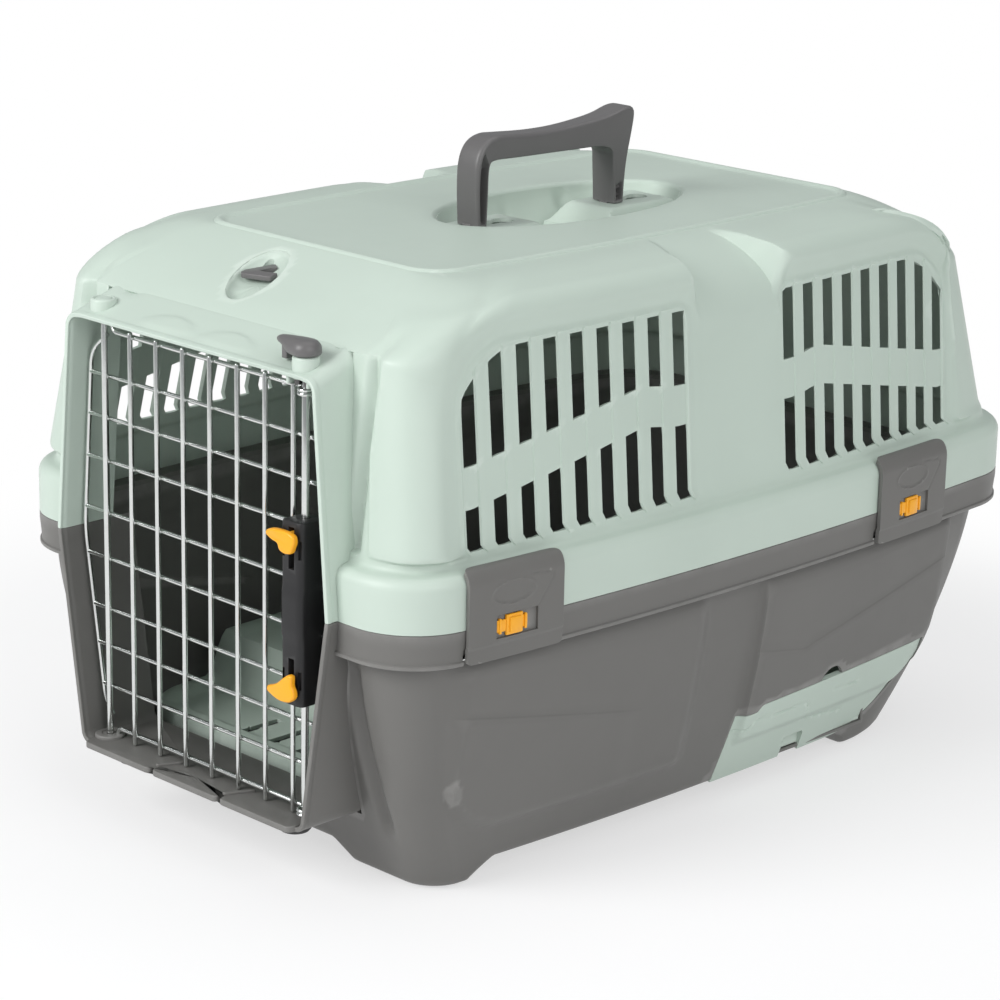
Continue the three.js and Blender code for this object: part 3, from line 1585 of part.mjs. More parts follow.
add('upper_shell', upperShell(), 'sage');
add('lower_shell', lowerShell(), 'grey');
add('wire_door', doorSolid(), 'steel');
add('latch_housing', latchHousing(), 'black');
for (const [word, up] of [['upper', 1], ['lower', -1]]) {
  const { bolt, tab, spring } = boltParts(up);
  add(`${word}_bolt`, bolt, 'steel');
  add(`${word}_latch_tab`, tab, 'amber');
  add(`${word}_bolt_spring`, spring, 'steel');
}
add('lock_knob', knobSolid(), 'charcoal');
add('carry_handle', handleSolid(), 'charcoal');
add('strap_hook', hookSolid(), 'charcoal');
for (const place of clipPlaces) {
  add(`clip_${place.name}`, atClip(place, clipSolid()), 'grey');
  add(`clip_pin_${place.name}`, atClip(place, clipPin()), 'steel');
  add(`clip_lock_${place.name}`, atClip(place, clipSlider()), 'amber');
}
add('floor_tray', traySolid(), 'sage');
add('side_drawer', drawerSolid(), 'sage');
footPlaces.forEach((place, i) => add(`sill_foot_${i === 0 ? 'left' : 'right'}`, footSolid(place), 'black'));

// The finished carrier stands on the ground with the middle of its length over the origin
const box = new THREE.Box3().setFromObject(carrier);
carrier.position.y = -(box.min.y + box.max.y) / 2;

export default carrier;
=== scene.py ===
import json
import math

import bmesh
import bpy
from mathutils import Matrix, Vector


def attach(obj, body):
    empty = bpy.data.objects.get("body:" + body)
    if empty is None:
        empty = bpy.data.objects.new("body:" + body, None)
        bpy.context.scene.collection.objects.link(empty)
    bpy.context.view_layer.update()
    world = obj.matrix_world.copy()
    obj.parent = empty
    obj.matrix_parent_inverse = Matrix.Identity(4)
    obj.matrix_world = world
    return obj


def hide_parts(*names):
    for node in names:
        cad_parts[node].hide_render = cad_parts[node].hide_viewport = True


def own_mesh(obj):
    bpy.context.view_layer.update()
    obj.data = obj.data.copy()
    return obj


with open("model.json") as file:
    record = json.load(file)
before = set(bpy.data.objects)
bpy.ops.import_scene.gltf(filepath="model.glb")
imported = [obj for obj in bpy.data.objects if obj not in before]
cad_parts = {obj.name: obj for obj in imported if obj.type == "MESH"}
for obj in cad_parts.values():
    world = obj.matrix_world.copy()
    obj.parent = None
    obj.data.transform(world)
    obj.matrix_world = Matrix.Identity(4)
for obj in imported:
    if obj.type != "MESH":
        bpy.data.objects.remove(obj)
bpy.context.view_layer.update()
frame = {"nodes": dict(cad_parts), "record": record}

scene = bpy.context.scene

mm = 0.001
rowShift = 6.05  # mm from the carrier's own frame, with the rim's middle at zero, to the row's frame


def mix(a, b, t):
    return a + (b - a) * t


def clamp(t, low=0.0, high=1.0):
    return min(high, max(low, t))


def ease(t):
    s = clamp(t)
    return s * s * (3 - 2 * s)


def spot(x, y, z):
    return Vector((x * mm, (y + rowShift) * mm, z * mm))


# ---- mesh helpers, all in the carrier's own millimetres

def shapedGrid(bm, columns, rows, place, hole=None):
    # a plain grid whose vertices move to place(column, row); hole(column, row) leaves a face out
    made = bmesh.ops.create_grid(bm, x_segments=columns, y_segments=rows, size=0.5)["verts"]
    where = {v: (round((v.co.x + 0.5) * columns), round((v.co.y + 0.5) * rows)) for v in made}
    if hole:
        faces = {f for v in made for f in v.link_faces}
        lost = []
        for face in faces:
            corner = [where[v] for v in face.verts]
            if hole(min(c for c, r in corner), min(r for c, r in corner)):
                lost.append(face)
        bmesh.ops.delete(bm, geom=lost, context="FACES_ONLY")
    for v, (c, r) in where.items():
        if v.is_valid:
            v.co = place(c, r)
    return made


def tidyMesh(bm, outward=True):
    bmesh.ops.remove_doubles(bm, verts=bm.verts, dist=0.00001)
    bmesh.ops.dissolve_degenerate(bm, edges=bm.edges, dist=0.00001)
    loose = [v for v in bm.verts if not v.link_faces]
    bmesh.ops.delete(bm, geom=loose, context="VERTS")
    if outward:
        bmesh.ops.recalc_face_normals(bm, faces=bm.faces)


def sweep(bm, rings, capped=True):
    # closed rings of points joined in turn, with a middle point at each end
    rings = [[Vector(p) for p in ring] for ring in rings]
    if capped:
        for end, at in ((0, 0), (-1, len(rings) + 1)):
            middle = sum(rings[end], Vector()) / len(rings[end])
            rings.insert(at, [middle] * len(rings[end]))
    count = len(rings[0])
    shapedGrid(bm, count, len(rings) - 1, lambda c, r: spot(*rings[r][c % count]))


def tube(bm, points, radius, sides=12, closed=False, domed=True):
    # a round wire along points, its rings carried along without twist
    points = [Vector(p) for p in points]
    count = len(points)
    rings = []
    side = None
    for i, point in enumerate(points):
        before = points[i - 1] if (i or closed) else point
        after = points[(i + 1) % count] if (i + 1 < count or closed) else point
        along = (after - before).normalized()
        if side is None:
            side = along.orthogonal().normalized()
        else:
            side = (side - along * side.dot(along)).normalized()
        turn = along.cross(side)
        reach = radius[i] if isinstance(radius, (list, tuple)) else radius
        rings.append([
            point + side * (reach * math.cos(2 * math.pi * k / sides))
            + turn * (reach * math.sin(2 * math.pi * k / sides))
            for k in range(sides)
        ])
    if closed:
        rings.append(rings[0])
        sweep(bm, rings, capped=False)
        return
    if domed:
        for end in (0, -1):
            centre = points[end]
            outward = (points[end] - points[1 if end == 0 else -2]).normalized()
            reach = (rings[end][0] - centre).length
            dome = []
            for share in (0.5, 0.85):
                shrink = math.sqrt(1 - share * share)
                dome.append([centre + (p - centre) * shrink + outward * reach * share for p in rings[end]])
            if end == 0:
                rings = dome[::-1] + rings
            else:
                rings = rings + dome
    sweep(bm, rings)


def bendPath(points, reach, steps=5):
    # corners of a route rounded over a reach
    points = [Vector(p) for p in points]
    route = [points[0]]
    for before, here, after in zip(points, points[1:], points[2:]):
        inward = before - here
        outward = after - here
        size = min(reach, inward.length / 2.01, outward.length / 2.01)
        start = here + inward.normalized() * size
        end = here + outward.normalized() * size
        for k in range(steps + 1):
            t = k / steps
            route.append(start * (1 - t) ** 2 + here * 2 * t * (1 - t) + end * t * t)
    route.append(points[-1])
    return route


def upright(a, b, depth):
    return a, b, depth


def cubeAt(bm, low, high, place=spot):
    made = bmesh.ops.create_cube(bm, size=1.0)["verts"]
    for v in made:
        v.co = place(*((a + b) / 2 + c * (b - a) for a, b, c in zip(low, high, v.co)))
    return made


def softBlock(bm, low, high, radius, place=spot):
    made = cubeAt(bm, low, high, place)
    edges = list(dict.fromkeys(e for v in made for e in v.link_edges))
    bmesh.ops.bevel(bm, geom=edges, offset=radius * mm, segments=2, profile=0.5, affect="EDGES", material=-1,
                    clamp_overlap=True)


def faceAlong(bm, x=0, z=0):
    # turns the faces over where most of them look away from the given side
    if sum(f.normal.x * x + f.normal.z * z for f in bm.faces) < 0:
        bmesh.ops.reverse_faces(bm, faces=bm.faces)


def turned(bm, centre, profile, steps=40):
    # a profile of (radius, height) spun round an upright axis
    points = [bm.verts.new(spot(centre[0] + r, centre[1], centre[2] + z)) for r, z in profile]
    edges = [bm.edges.new(pair) for pair in zip(points, points[1:])]
    bmesh.ops.spin(bm, geom=points + edges, cent=spot(*centre), axis=(0, 0, 1), angle=2 * math.pi,
                   steps=steps, use_merge=True)


def roundedOutline(points, reach, steps=5):
    # a closed outline with each corner rounded over its own reach
    points = [Vector((a, b, 0)) for a, b in points]
    reaches = reach if isinstance(reach, (list, tuple)) else [reach] * len(points)
    outline = []
    for i, here in enumerate(points):
        inward = points[i - 1] - here
        outward = points[(i + 1) % len(points)] - here
        size = min(reaches[i], inward.length / 2.01, outward.length / 2.01)
        start = here + inward.normalized() * size
        end = here + outward.normalized() * size
        for k in range(steps + 1):
            t = k / steps
            p = start * (1 - t) ** 2 + here * 2 * t * (1 - t) + end * t * t
            outline.append((p.x, p.y))
    return outline


def growOutline(outline, amount):
    # the outline moved outwards by an amount, or inwards where it is negative
    count = len(outline)
    area = sum(outline[i - 1][0] * outline[i][1] - outline[i][0] * outline[i - 1][1] for i in range(count))
    grown = []
    for i, (a, b) in enumerate(outline):
        before, after = Vector(outline[i - 1]), Vector(outline[(i + 1) % count])
        along = (after - before).normalized()
        normal = Vector((along.y, -along.x)) * (1 if area > 0 else -1)
        grown.append((a + normal.x * amount, b + normal.y * amount))
    return grown


def prism(bm, outline, toPoint, near, far, edge=0.0, steps=3):
    # an outline pulled from near to far through toPoint(a, b, depth), its rims rounded
    sign = 1 if far > near else -1
    rings = []
    for k in range(steps + 1 if edge else 1):
        angle = k / steps * math.pi / 2
        rings.append((near + sign * edge * (1 - math.sin(angle)) if edge else near, edge * (1 - math.cos(angle))))
    rings.reverse()
    rings += [(far + near - depth, inset) for depth, inset in rings[::-1]]
    sweep(bm, [[toPoint(a, b, depth) for a, b in growOutline(outline, -inset)] for depth, inset in rings])


def addPiece(name, bm, body, material, replaces=(), smooth=38):
    mesh = bpy.data.meshes.new(name)
    bm.to_mesh(mesh)
    bm.free()
    mesh.materials.append(material)
    mesh.shade_smooth()
    mesh.set_sharp_from_angle(angle=math.radians(smooth))
    piece = bpy.data.objects.new(name, mesh)
    scene.collection.objects.link(piece)
    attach(piece, body)
    if replaces:
        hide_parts(*replaces)
    return piece


def thicken(piece, thickness, edge=0.35):
    wall = piece.modifiers.new("wall", "SOLIDIFY")
    wall.thickness = thickness * mm
    wall.offset = -1
    if edge:
        soften(piece, edge)


def soften(piece, width, angle=50, segments=2):
    rim = piece.modifiers.new("edges", "BEVEL")
    rim.width = width * mm
    rim.segments = segments
    rim.limit_method = "ANGLE"
    rim.angle_limit = math.radians(angle)
    rim.harden_normals = True


def cutBy(piece, cutter, crossing=False):
    # takes the cutter's shape out of the piece, then drops the cutter; crossing is for a piece that meets itself
    tool = bpy.data.meshes.new("cutter")
    cutter.to_mesh(tool)
    cutter.free()
    holder = bpy.data.objects.new("cutter", tool)
    scene.collection.objects.link(holder)
    hole = piece.modifiers.new("hole", "BOOLEAN")
    hole.operation = "DIFFERENCE"
    hole.solver = "EXACT"
    hole.use_self = crossing
    hole.object = holder
    settle(piece)
    bpy.data.objects.remove(holder)
    bpy.data.meshes.remove(tool)


def settle(piece):
    # the piece's modifiers made part of its mesh
    bpy.context.view_layer.update()
    graph = bpy.context.evaluated_depsgraph_get()
    finished = bpy.data.meshes.new_from_object(piece.evaluated_get(graph))
    old = piece.data
    piece.modifiers.clear()
    piece.data = finished
    finished.name = old.name
    bpy.data.meshes.remove(old)


# ---- materials

def socketed(name, inputs, outputs):
    group = bpy.data.node_groups.new(name, "ShaderNodeTree")
    for label, kind, value in inputs:
        socket = group.interface.new_socket(label, in_out="INPUT", socket_type=kind)
        socket.default_value = value
    for label, kind in outputs:
        group.interface.new_socket(label, in_out="OUTPUT", socket_type=kind)
    nodes = group.nodes
    return group, nodes.new("NodeGroupInput"), nodes.new("NodeGroupOutput")


def node(tree, kind, inputs=None, **values):
    # a new node; inputs holds plain values, or the sockets that feed it
    made = tree.nodes.new(kind)
    for key, value in values.items():
        setattr(made, key, value)
    for key, value in (inputs or {}).items():
        if isinstance(value, bpy.types.NodeSocket):
            tree.links.new(value, made.inputs[key])
        else:
            made.inputs[key].default_value = value
    return made


def mixColours(tree, factor, a, b):
    return node(tree, "ShaderNodeMix", {0: factor, 6: a, 7: b}, data_type="RGBA", blend_type="MIX").outputs[2]


def ramp(tree, source, stops):
    made = node(tree, "ShaderNodeValToRGB", {0: source})
    while len(made.color_ramp.elements) < len(stops):
        made.color_ramp.elements.new(0.5)
    for element, (position, level) in zip(made.color_ramp.elements, stops):
        element.position = position
        element.color = (level, level, level, 1)
    return made.outputs[0]


def mouldedSurface():
    # fine spark-eroded grain, slow flow marks, and paler edges of moulded plastic that are partly rubbed wear and
    # partly a painted highlight
    group, source, result = socketed(
        "mouldedSurface",
        [("Colour", "NodeSocketColor", (0.5, 0.5, 0.5, 1)), ("Wear and highlight", "NodeSocketColor", (0.7, 0.7, 0.7, 1)),
         ("Roughness", "NodeSocketFloat", 0.5), ("Grain size", "NodeSocketFloat", 1500.0),
         ("Grain depth", "NodeSocketFloat", 0.1), ("Wear and highlight amount", "NodeSocketFloat", 0.3)],
        [("Colour", "NodeSocketColor"), ("Roughness", "NodeSocketFloat"), ("Normal", "NodeSocketVector")],
    )
    given = source.outputs
    place = node(group, "ShaderNodeTexCoord").outputs["Object"]
    grain = node(group, "ShaderNodeTexNoise", {"Detail": 3, "Vector": place, "Scale": given["Grain size"]})
    flow = node(group, "ShaderNodeTexNoise", {"Scale": 5.5, "Detail": 4, "Distortion": 0.8, "Vector": place})
    dust = node(group, "ShaderNodeTexNoise", {"Scale": 60, "Detail": 6, "Vector": place})
    bump = node(group, "ShaderNodeBump", {"Distance": 0.0002, "Height": grain.outputs["Fac"],
                                          "Strength": given["Grain depth"]})
    # paler colour in patches on sharp convex edges: partly rubbed wear, partly a painted edge highlight
    edges = ramp(group, node(group, "ShaderNodeNewGeometry").outputs["Pointiness"], ((0.515, 0), (0.58, 1)))
    patches = ramp(group, dust.outputs["Fac"], ((0.3, 0.25), (0.7, 1)))
    patchy = node(group, "ShaderNodeMath", {0: edges, 1: patches}, operation="MULTIPLY")
    wearAndHighlightMask = node(group, "ShaderNodeMath", {0: patchy.outputs[0], 1: given["Wear and highlight amount"]}, operation="MULTIPLY")
    marks = ramp(group, flow.outputs["Fac"], ((0.3, 0.0), (0.7, 0.07)))
    tinted = mixColours(group, marks, given["Colour"], (0.0, 0.0, 0.0, 1))
    gloss = node(group, "ShaderNodeMapRange", {"To Min": -0.05, "To Max": 0.06, "Value": dust.outputs["Fac"]})
    rough = node(group, "ShaderNodeMath", {0: given["Roughness"], 1: gloss.outputs[0]}, operation="ADD")
    for label, socket in (("Colour", mixColours(group, wearAndHighlightMask.outputs[0], tinted, given["Wear and highlight"])),
                          ("Roughness", rough.outputs[0]), ("Normal", bump.outputs["Normal"])):
        group.links.new(socket, result.inputs[label])
    return group


moulded = mouldedSurface()


def mouldedPlastic(name, colour, wearAndHighlight, roughness, grainSize, grainDepth, wearAndHighlightAmount, sheen=0.0, specular=0.4):
    material = bpy.data.materials.new(name)
    material.use_nodes = True
    tree = material.node_tree
    shader = tree.nodes["Principled BSDF"]
    surface = node(tree, "ShaderNodeGroup", node_tree=moulded)
    for label, value in (("Colour", (*colour, 1)), ("Wear and highlight", (*wearAndHighlight, 1)), ("Roughness", roughness),
                         ("Grain size", grainSize), ("Grain depth", grainDepth), ("Wear and highlight amount", wearAndHighlightAmount)):
        surface.inputs[label].default_value = value
    for label, target in (("Colour", "Base Color"), ("Roughness", "Roughness"), ("Normal", "Normal")):
        tree.links.new(surface.outputs[label], shader.inputs[target])
    shader.inputs["Specular IOR Level"].default_value = specular
    shader.inputs["Coat Weight"].default_value = sheen
    shader.inputs["Coat Roughness"].default_value = 0.35
    return material


def drawnSteel():
    # bright plated wire: faint drawing lines and cloudy patches in the plating
    material = bpy.data.materials.new("drawnSteel")
    material.use_nodes = True
    tree = material.node_tree
    link = tree.links.new
    shader = tree.nodes["Principled BSDF"]
    place = node(tree, "ShaderNodeTexCoord").outputs["Object"]
    cloud = node(tree, "ShaderNodeTexNoise", {"Scale": 90, "Detail": 5, "Vector": place})
    lines = node(tree, "ShaderNodeTexNoise", {"Scale": 1800, "Vector": place})
    tint = mixColours(tree, cloud.outputs["Fac"], (0.79, 0.81, 0.79, 1), (0.68, 0.70, 0.69, 1))
    link(tint, shader.inputs["Base Color"])
    link(ramp(tree, cloud.outputs["Fac"], ((0.3, 0.14), (0.75, 0.22))), shader.inputs["Roughness"])
    bump = node(tree, "ShaderNodeBump", {"Strength": 0.05, "Distance": 0.0001, "Height": lines.outputs["Fac"]})
    link(bump.outputs["Normal"], shader.inputs["Normal"])
    shader.inputs["Metallic"].default_value = 1
    return material


# each material's second colour goes on its sharp edges: partly rubbed wear, partly a painted edge highlight
sagePlastic = mouldedPlastic("sagePlastic", (0.515, 0.605, 0.535), (0.72, 0.79, 0.73), 0.42, 1300, 0.12, 0.35)
greyPlastic = mouldedPlastic("greyPlastic", (0.150, 0.147, 0.139), (0.4, 0.395, 0.38), 0.46, 1300, 0.16, 0.4)
charcoalPlastic = mouldedPlastic("charcoalPlastic", (0.128, 0.124, 0.124), (0.3, 0.29, 0.29), 0.38, 1500, 0.12, 0.3)
blackPlastic = mouldedPlastic("blackPlastic", (0.012, 0.012, 0.013), (0.09, 0.09, 0.09), 0.42, 1500, 0.12, 0.3)
amberPlastic = mouldedPlastic("amberPlastic", (0.93, 0.40, 0.012), (0.98, 0.62, 0.12), 0.3, 1800, 0.06, 0.2)
darkRubber = mouldedPlastic("darkRubber", (0.03, 0.03, 0.03), (0.1, 0.1, 0.1), 0.7, 900, 0.3, 0.3)
steel = drawnSteel()

finishOf = {
    "sage_plastic": sagePlastic, "grey_plastic": greyPlastic, "charcoal_plastic": charcoalPlastic,
    "black_plastic": blackPlastic, "amber_plastic": amberPlastic, "bright_steel": steel, "dark_rubber": darkRubber,
}
for entry in frame["record"]["subparts"]:
    cadMesh = frame["nodes"][entry["node"]].data
    cadMesh.materials.clear()
    cadMesh.materials.append(finishOf[entry["material_slot"]])
print("materials ready")

# ---- the shells' plan, shared by cover and tub

rim = dict(halfWidth=184.6, frontY=-272.0, backY=275.0, waist=14.2, frontCorner=43.0, backCorner=53.0,
           partingZ=170.0, skirtBottomZ=150.0, flangeZ=201.0, flangeRound=7.0, gap=0.35)
hood = dict(frontY=-280.0, wall=2.8, partingHalf=118.0, topHalf=107.0, topZ=303.0, topCorner=9.0, sillHalf=99.0,
            sillZ=42.0, sillCorner=8.0, sillThick=3.6, petals=3)
roof = dict(halfWidth=106.0, frontY=-187.0, backY=183.0, corner=24.0)


def sideHalf(y):
    return rim["halfWidth"] - rim["waist"] * (y / rim["backY"]) ** 2


def hoodHalf(z):
    if z > rim["partingZ"]:
        return mix(hood["partingHalf"], hood["topHalf"], (z - rim["partingZ"]) / (hood["topZ"] - rim["partingZ"]))
    return mix(hood["partingHalf"], hood["sillHalf"], (rim["partingZ"] - z) / (rim["partingZ"] - hood["sillZ"]))


freeColumns = (-170, 199.6)


def planPoint(column, level):
    # level: side, front and back insets and heights, corner radii, squeeze towards the roof's length, door half
    kind, value, side = column
    frontR, backR = level["frontCorner"], level["backCorner"]
    frontY = rim["frontY"] + level["frontInset"] + frontR
    backY = rim["backY"] - level["backInset"] - backR
    frontX = sideHalf(frontY) - level["sideInset"] - frontR
    backX = sideHalf(backY) - level["sideInset"] - backR
    sideZ, frontZ, backZ = level["z"]
    doorX = min(level["doorHalf"], frontX - 3)
    if kind == "door":
        x, y, z, out = doorX * value, rim["frontY"] + level["frontInset"], frontZ, (0, -1)
    elif kind == "front":
        x, y, z, out = mix(doorX, frontX, value), rim["frontY"] + level["frontInset"], frontZ, (0, -1)
    elif kind == "back":
        x, y, z, out = backX * value, rim["backY"] - level["backInset"], backZ, (0, 1)
    elif kind == "frontCorner":
        a = value * math.pi / 2
        out = (math.sin(a), -math.cos(a))
        x, y = frontX + frontR * out[0], frontY + frontR * out[1]
        z = mix(frontZ, sideZ, ease(value))
    elif kind == "backCorner":
        a = value * math.pi / 2
        out = (math.cos(a), math.sin(a))
        x, y = backX + backR * out[0], backY + backR * out[1]
        z = mix(sideZ, backZ, ease(value))
    else:
        first, last = level["sideEnds"]
        share = (value - first) / (last - first)
        room = (backY - frontY) / 40
        # the outer columns draw together where a wide corner takes up their room
        low, high = freeColumns
        if value < low:
            value = mix(low, max(first, frontY), (value - low) / (first - low))
        if value > high:
            value = mix(high, min(last, backY), (value - high) / (last - high))
        y = mix(value, mix(frontY + room, backY - room, share), level["squeeze"])
        x, z, out = sideHalf(y) - level["sideInset"], sideZ, (1, 0)
    return Vector((x * side, y, z)), Vector((out[0] * side, out[1], 0))


def spread(low, high, count):
    return [mix(low, high, k / count) for k in range(count)]


# ---- cover: leaning slotted walls under a soft shoulder and a raised roof panel

cover = dict(wall=2.3, footInset=11.0, footZ=206.0, footRound=3.0, wallTopZ=303.0, wallTopInset=28.0,
             frontTopZ=314.0, frontTopInset=22.0, frontTopCorner=26.0, backTopCorner=44.0, edgeZ=345.4,
             plainFullness=1.65, fieldFullness=2.7, frontFullness=1.1, backFullness=1.3, leastCorner=7.0)
# the side walls' length along y between their corner columns, and how far the shells lap over the doorway's edge
sideEnds, doorLap = (-221.5, 211.5), 1.4
field = dict(frontStart=-262.0, frontEnd=-33.0, backStart=35.0, backEnd=228.0, frontRamp=16.0, ramp=9.0, raise_=4.2,
             topZ=325.0, cornerZ=300.0, frontCornerY=-227.0, backCornerY=204.0, cornerRun=46.0)
slots = dict(count=9, width=9.6, frontOuter=-211.0, frontInner=-51.0, backOuter=194.0, backInner=45.0,
             bottomZ=208.0, lowTopOuter=231.5, lowTopInner=254.0, band=22.5, dip=3.5, topZ=314.0,
             louvre=0.9, lineWidth=0.8, leanFront=0.085, leanBack=0.12, leastStep=4.0)
window = dict(margin=3.5, depth=4.6, rampWide=15.0, bead=0.9, beadWide=2.6, cornerRound=40.0, innerRound=9.0)
groove = dict(x=117.0, lean=0.045, depth=5.5, width=7.0)
bandRows = dict(foot=3, low=9, middle=8, high=13, top=9)
shoulderStops = ([k * 0.0575 for k in range(1, 9)] + [0.49, 0.52, 0.55, 0.58, 0.61]
                 + [0.61 + 0.39 * k / 8 for k in range(1, 9)])
slotFields = ((slots["frontOuter"], slots["frontInner"]), (slots["backOuter"], slots["backInner"]))


roofRidge = ((0.3, 345.4), (1, 346.2), (2, 346.8), (3.2, 347), (4.6, 346.8), (6, 346.1), (7.5, 345.5), (9.5, 345.4))


def coverColumns():
    right = [("door", v, 1) for v in spread(0, 1, 26)]
    right += [("front", v, 1) for v in spread(0, 1, 9)]
    right += [("frontCorner", v, 1) for v in spread(0, 1, 14)]
    stations = [-221.5, -219.3, -218.2, -217.1]
    stations += slotStations(*slotFields[0])
    stations += spread(slots["frontInner"] + 6.4, slots["backInner"] - 6.4, 26)
    stations += slotStations(slotFields[1][1], slotFields[1][0])
    stations += [200.2, 201.6, 203.0, 205.0, 208.0, 211.5]
    right += [("side", y, 1) for y in stations]
    right += [("backCorner", v, 1) for v in spread(0, 1, 14)]
    right += [("back", v, 1) for v in spread(1, 0, 16)]
    right.append(("back", 0, 1))
    left = [(kind, value, -1) for kind, value, side in right[1:-1]][::-1]
    return right + left


def slotStations(first, last):
    stations = []
    half = slots["width"] / 2
    for i in range(slots["count"]):
        y = mix(first, last, i / (slots["count"] - 1))
        stations += [y - half, y - half / 3, y + half / 3, y + half, y + half + slots["lineWidth"]]
        if i + 1 < slots["count"]:
            stations.append(y + abs(last - first) / (slots["count"] - 1) / 2 + 0.4)
    return stations


def isSlot(y):
    half = slots["width"] / 2
    for outer, inner in slotFields:
        pitch = (inner - outer) / (slots["count"] - 1)
        i = round((y - outer) / pitch)
        if 0 <= i < slots["count"] and abs(y - outer - i * pitch) < half - 0.1:
            return True
    return False


def louvreStand(y):
    # each bar leans a little, so that its far edge throws a fine line through the band between the slots
    for outer, inner in slotFields:
        low, high = min(outer, inner), max(outer, inner)
        pitch = (high - low) / (slots["count"] - 1)
        t = (y - low - slots["width"] / 2) / pitch
        if -0.6 < t < slots["count"] - 1 + 0.1:
            part = t - math.floor(t)
            line = slots["lineWidth"] / pitch
            return slots["louvre"] * (part / line if part < line else (1 - part) / (1 - line))
    return 0.0


def waveRise(y):
    outer, inner = slotFields[0] if y < 0 else slotFields[1]
    return clamp((y - outer) / (inner - outer))


def waveZ(y):
    share = waveRise(y)
    rise = mix(slots["lowTopOuter"], slots["lowTopInner"], clamp(share / 0.8))
    return rise - slots["dip"] * ease((share - 0.8) / 0.2)


def fieldTopZ(y):
    share = clamp(min(y - field["frontCornerY"], field["backCornerY"] - y) / field["cornerRun"])
    return mix(field["cornerZ"], field["topZ"], 1 - (1 - share) ** 1.8)


def slotTopZ(y):
    share = clamp(min(y - slots["frontOuter"] + 4.8, slots["backOuter"] + 4.8 - y) / 44)
    return mix(290.5, slots["topZ"], 1 - (1 - share) ** 2.1)


def raisedShare(y):
    front = ease((y - field["frontStart"]) / field["frontRamp"]) * ease((field["frontEnd"] - y) / field["ramp"])
    back = ease((y - field["backStart"]) / field["ramp"]) * ease((field["backEnd"] - y) / field["frontRamp"])
    return front + back


def cornerDistance(a, b, radius):
    # distance to a quadrant's edge with a rounded corner, negative inside
    u, v = a + radius, b + radius
    if u > 0 and v > 0:
        return math.hypot(u, v) - radius
    return max(a, b)


def windowDistance(y, z):
    outer, inner = slotFields[0] if y < 0 else slotFields[1]
    sign = 1 if inner > outer else -1
    margin = slots["width"] / 2 + window["margin"]
    dOuter = (outer - y) * sign - margin
    dInner = (y - inner) * sign - margin
    dTop = z - slots["topZ"] - window["margin"]
    dBottom = (slots["bottomZ"] - 6) - z
    return max(cornerDistance(dOuter, dTop, window["cornerRound"]),
               cornerDistance(dInner, dTop, window["innerRound"]), dBottom)


def windowStand(y, z):
    d = windowDistance(y, z)
    inward = window["depth"] * (1 - ease(d / window["rampWide"]))
    bead = window["bead"] * (1 - ease(abs(d + 0.6) / window["beadWide"]))
    return bead - inward


def coverRows():
    rows = [("skirt", 0, rim["partingZ"] + rim["gap"] / 2)]
    rows += [("skirt", 0, z) for z in (171.5, 178, 186, rim["flangeZ"] - rim["flangeRound"])]
    for k in range(1, 7):
        a = k / 6 * math.pi / 2
        rows.append(("skirt", rim["flangeRound"] * (1 - math.cos(a)),
                     rim["flangeZ"] - rim["flangeRound"] * (1 - math.sin(a))))
    rows.append(("skirt", 8, rim["flangeZ"] + 0.3))
    for k in range(1, 4):
        a = k / 4 * math.pi / 2
        rows.append(("skirt", cover["footInset"] - cover["footRound"] * (1 - math.sin(a)),
                     cover["footZ"] - 4.6 + 3.6 * (1 - math.cos(a))))
    for band, count in bandRows.items():
        rows += [("wall", band, k / count) for k in range(count)]
    rows.append(("wall", "top", 1))
    rows += [("shoulder", t, 0) for t in shoulderStops]
    rows += [("roof", inset, z) for inset, z in roofRidge]
    return rows


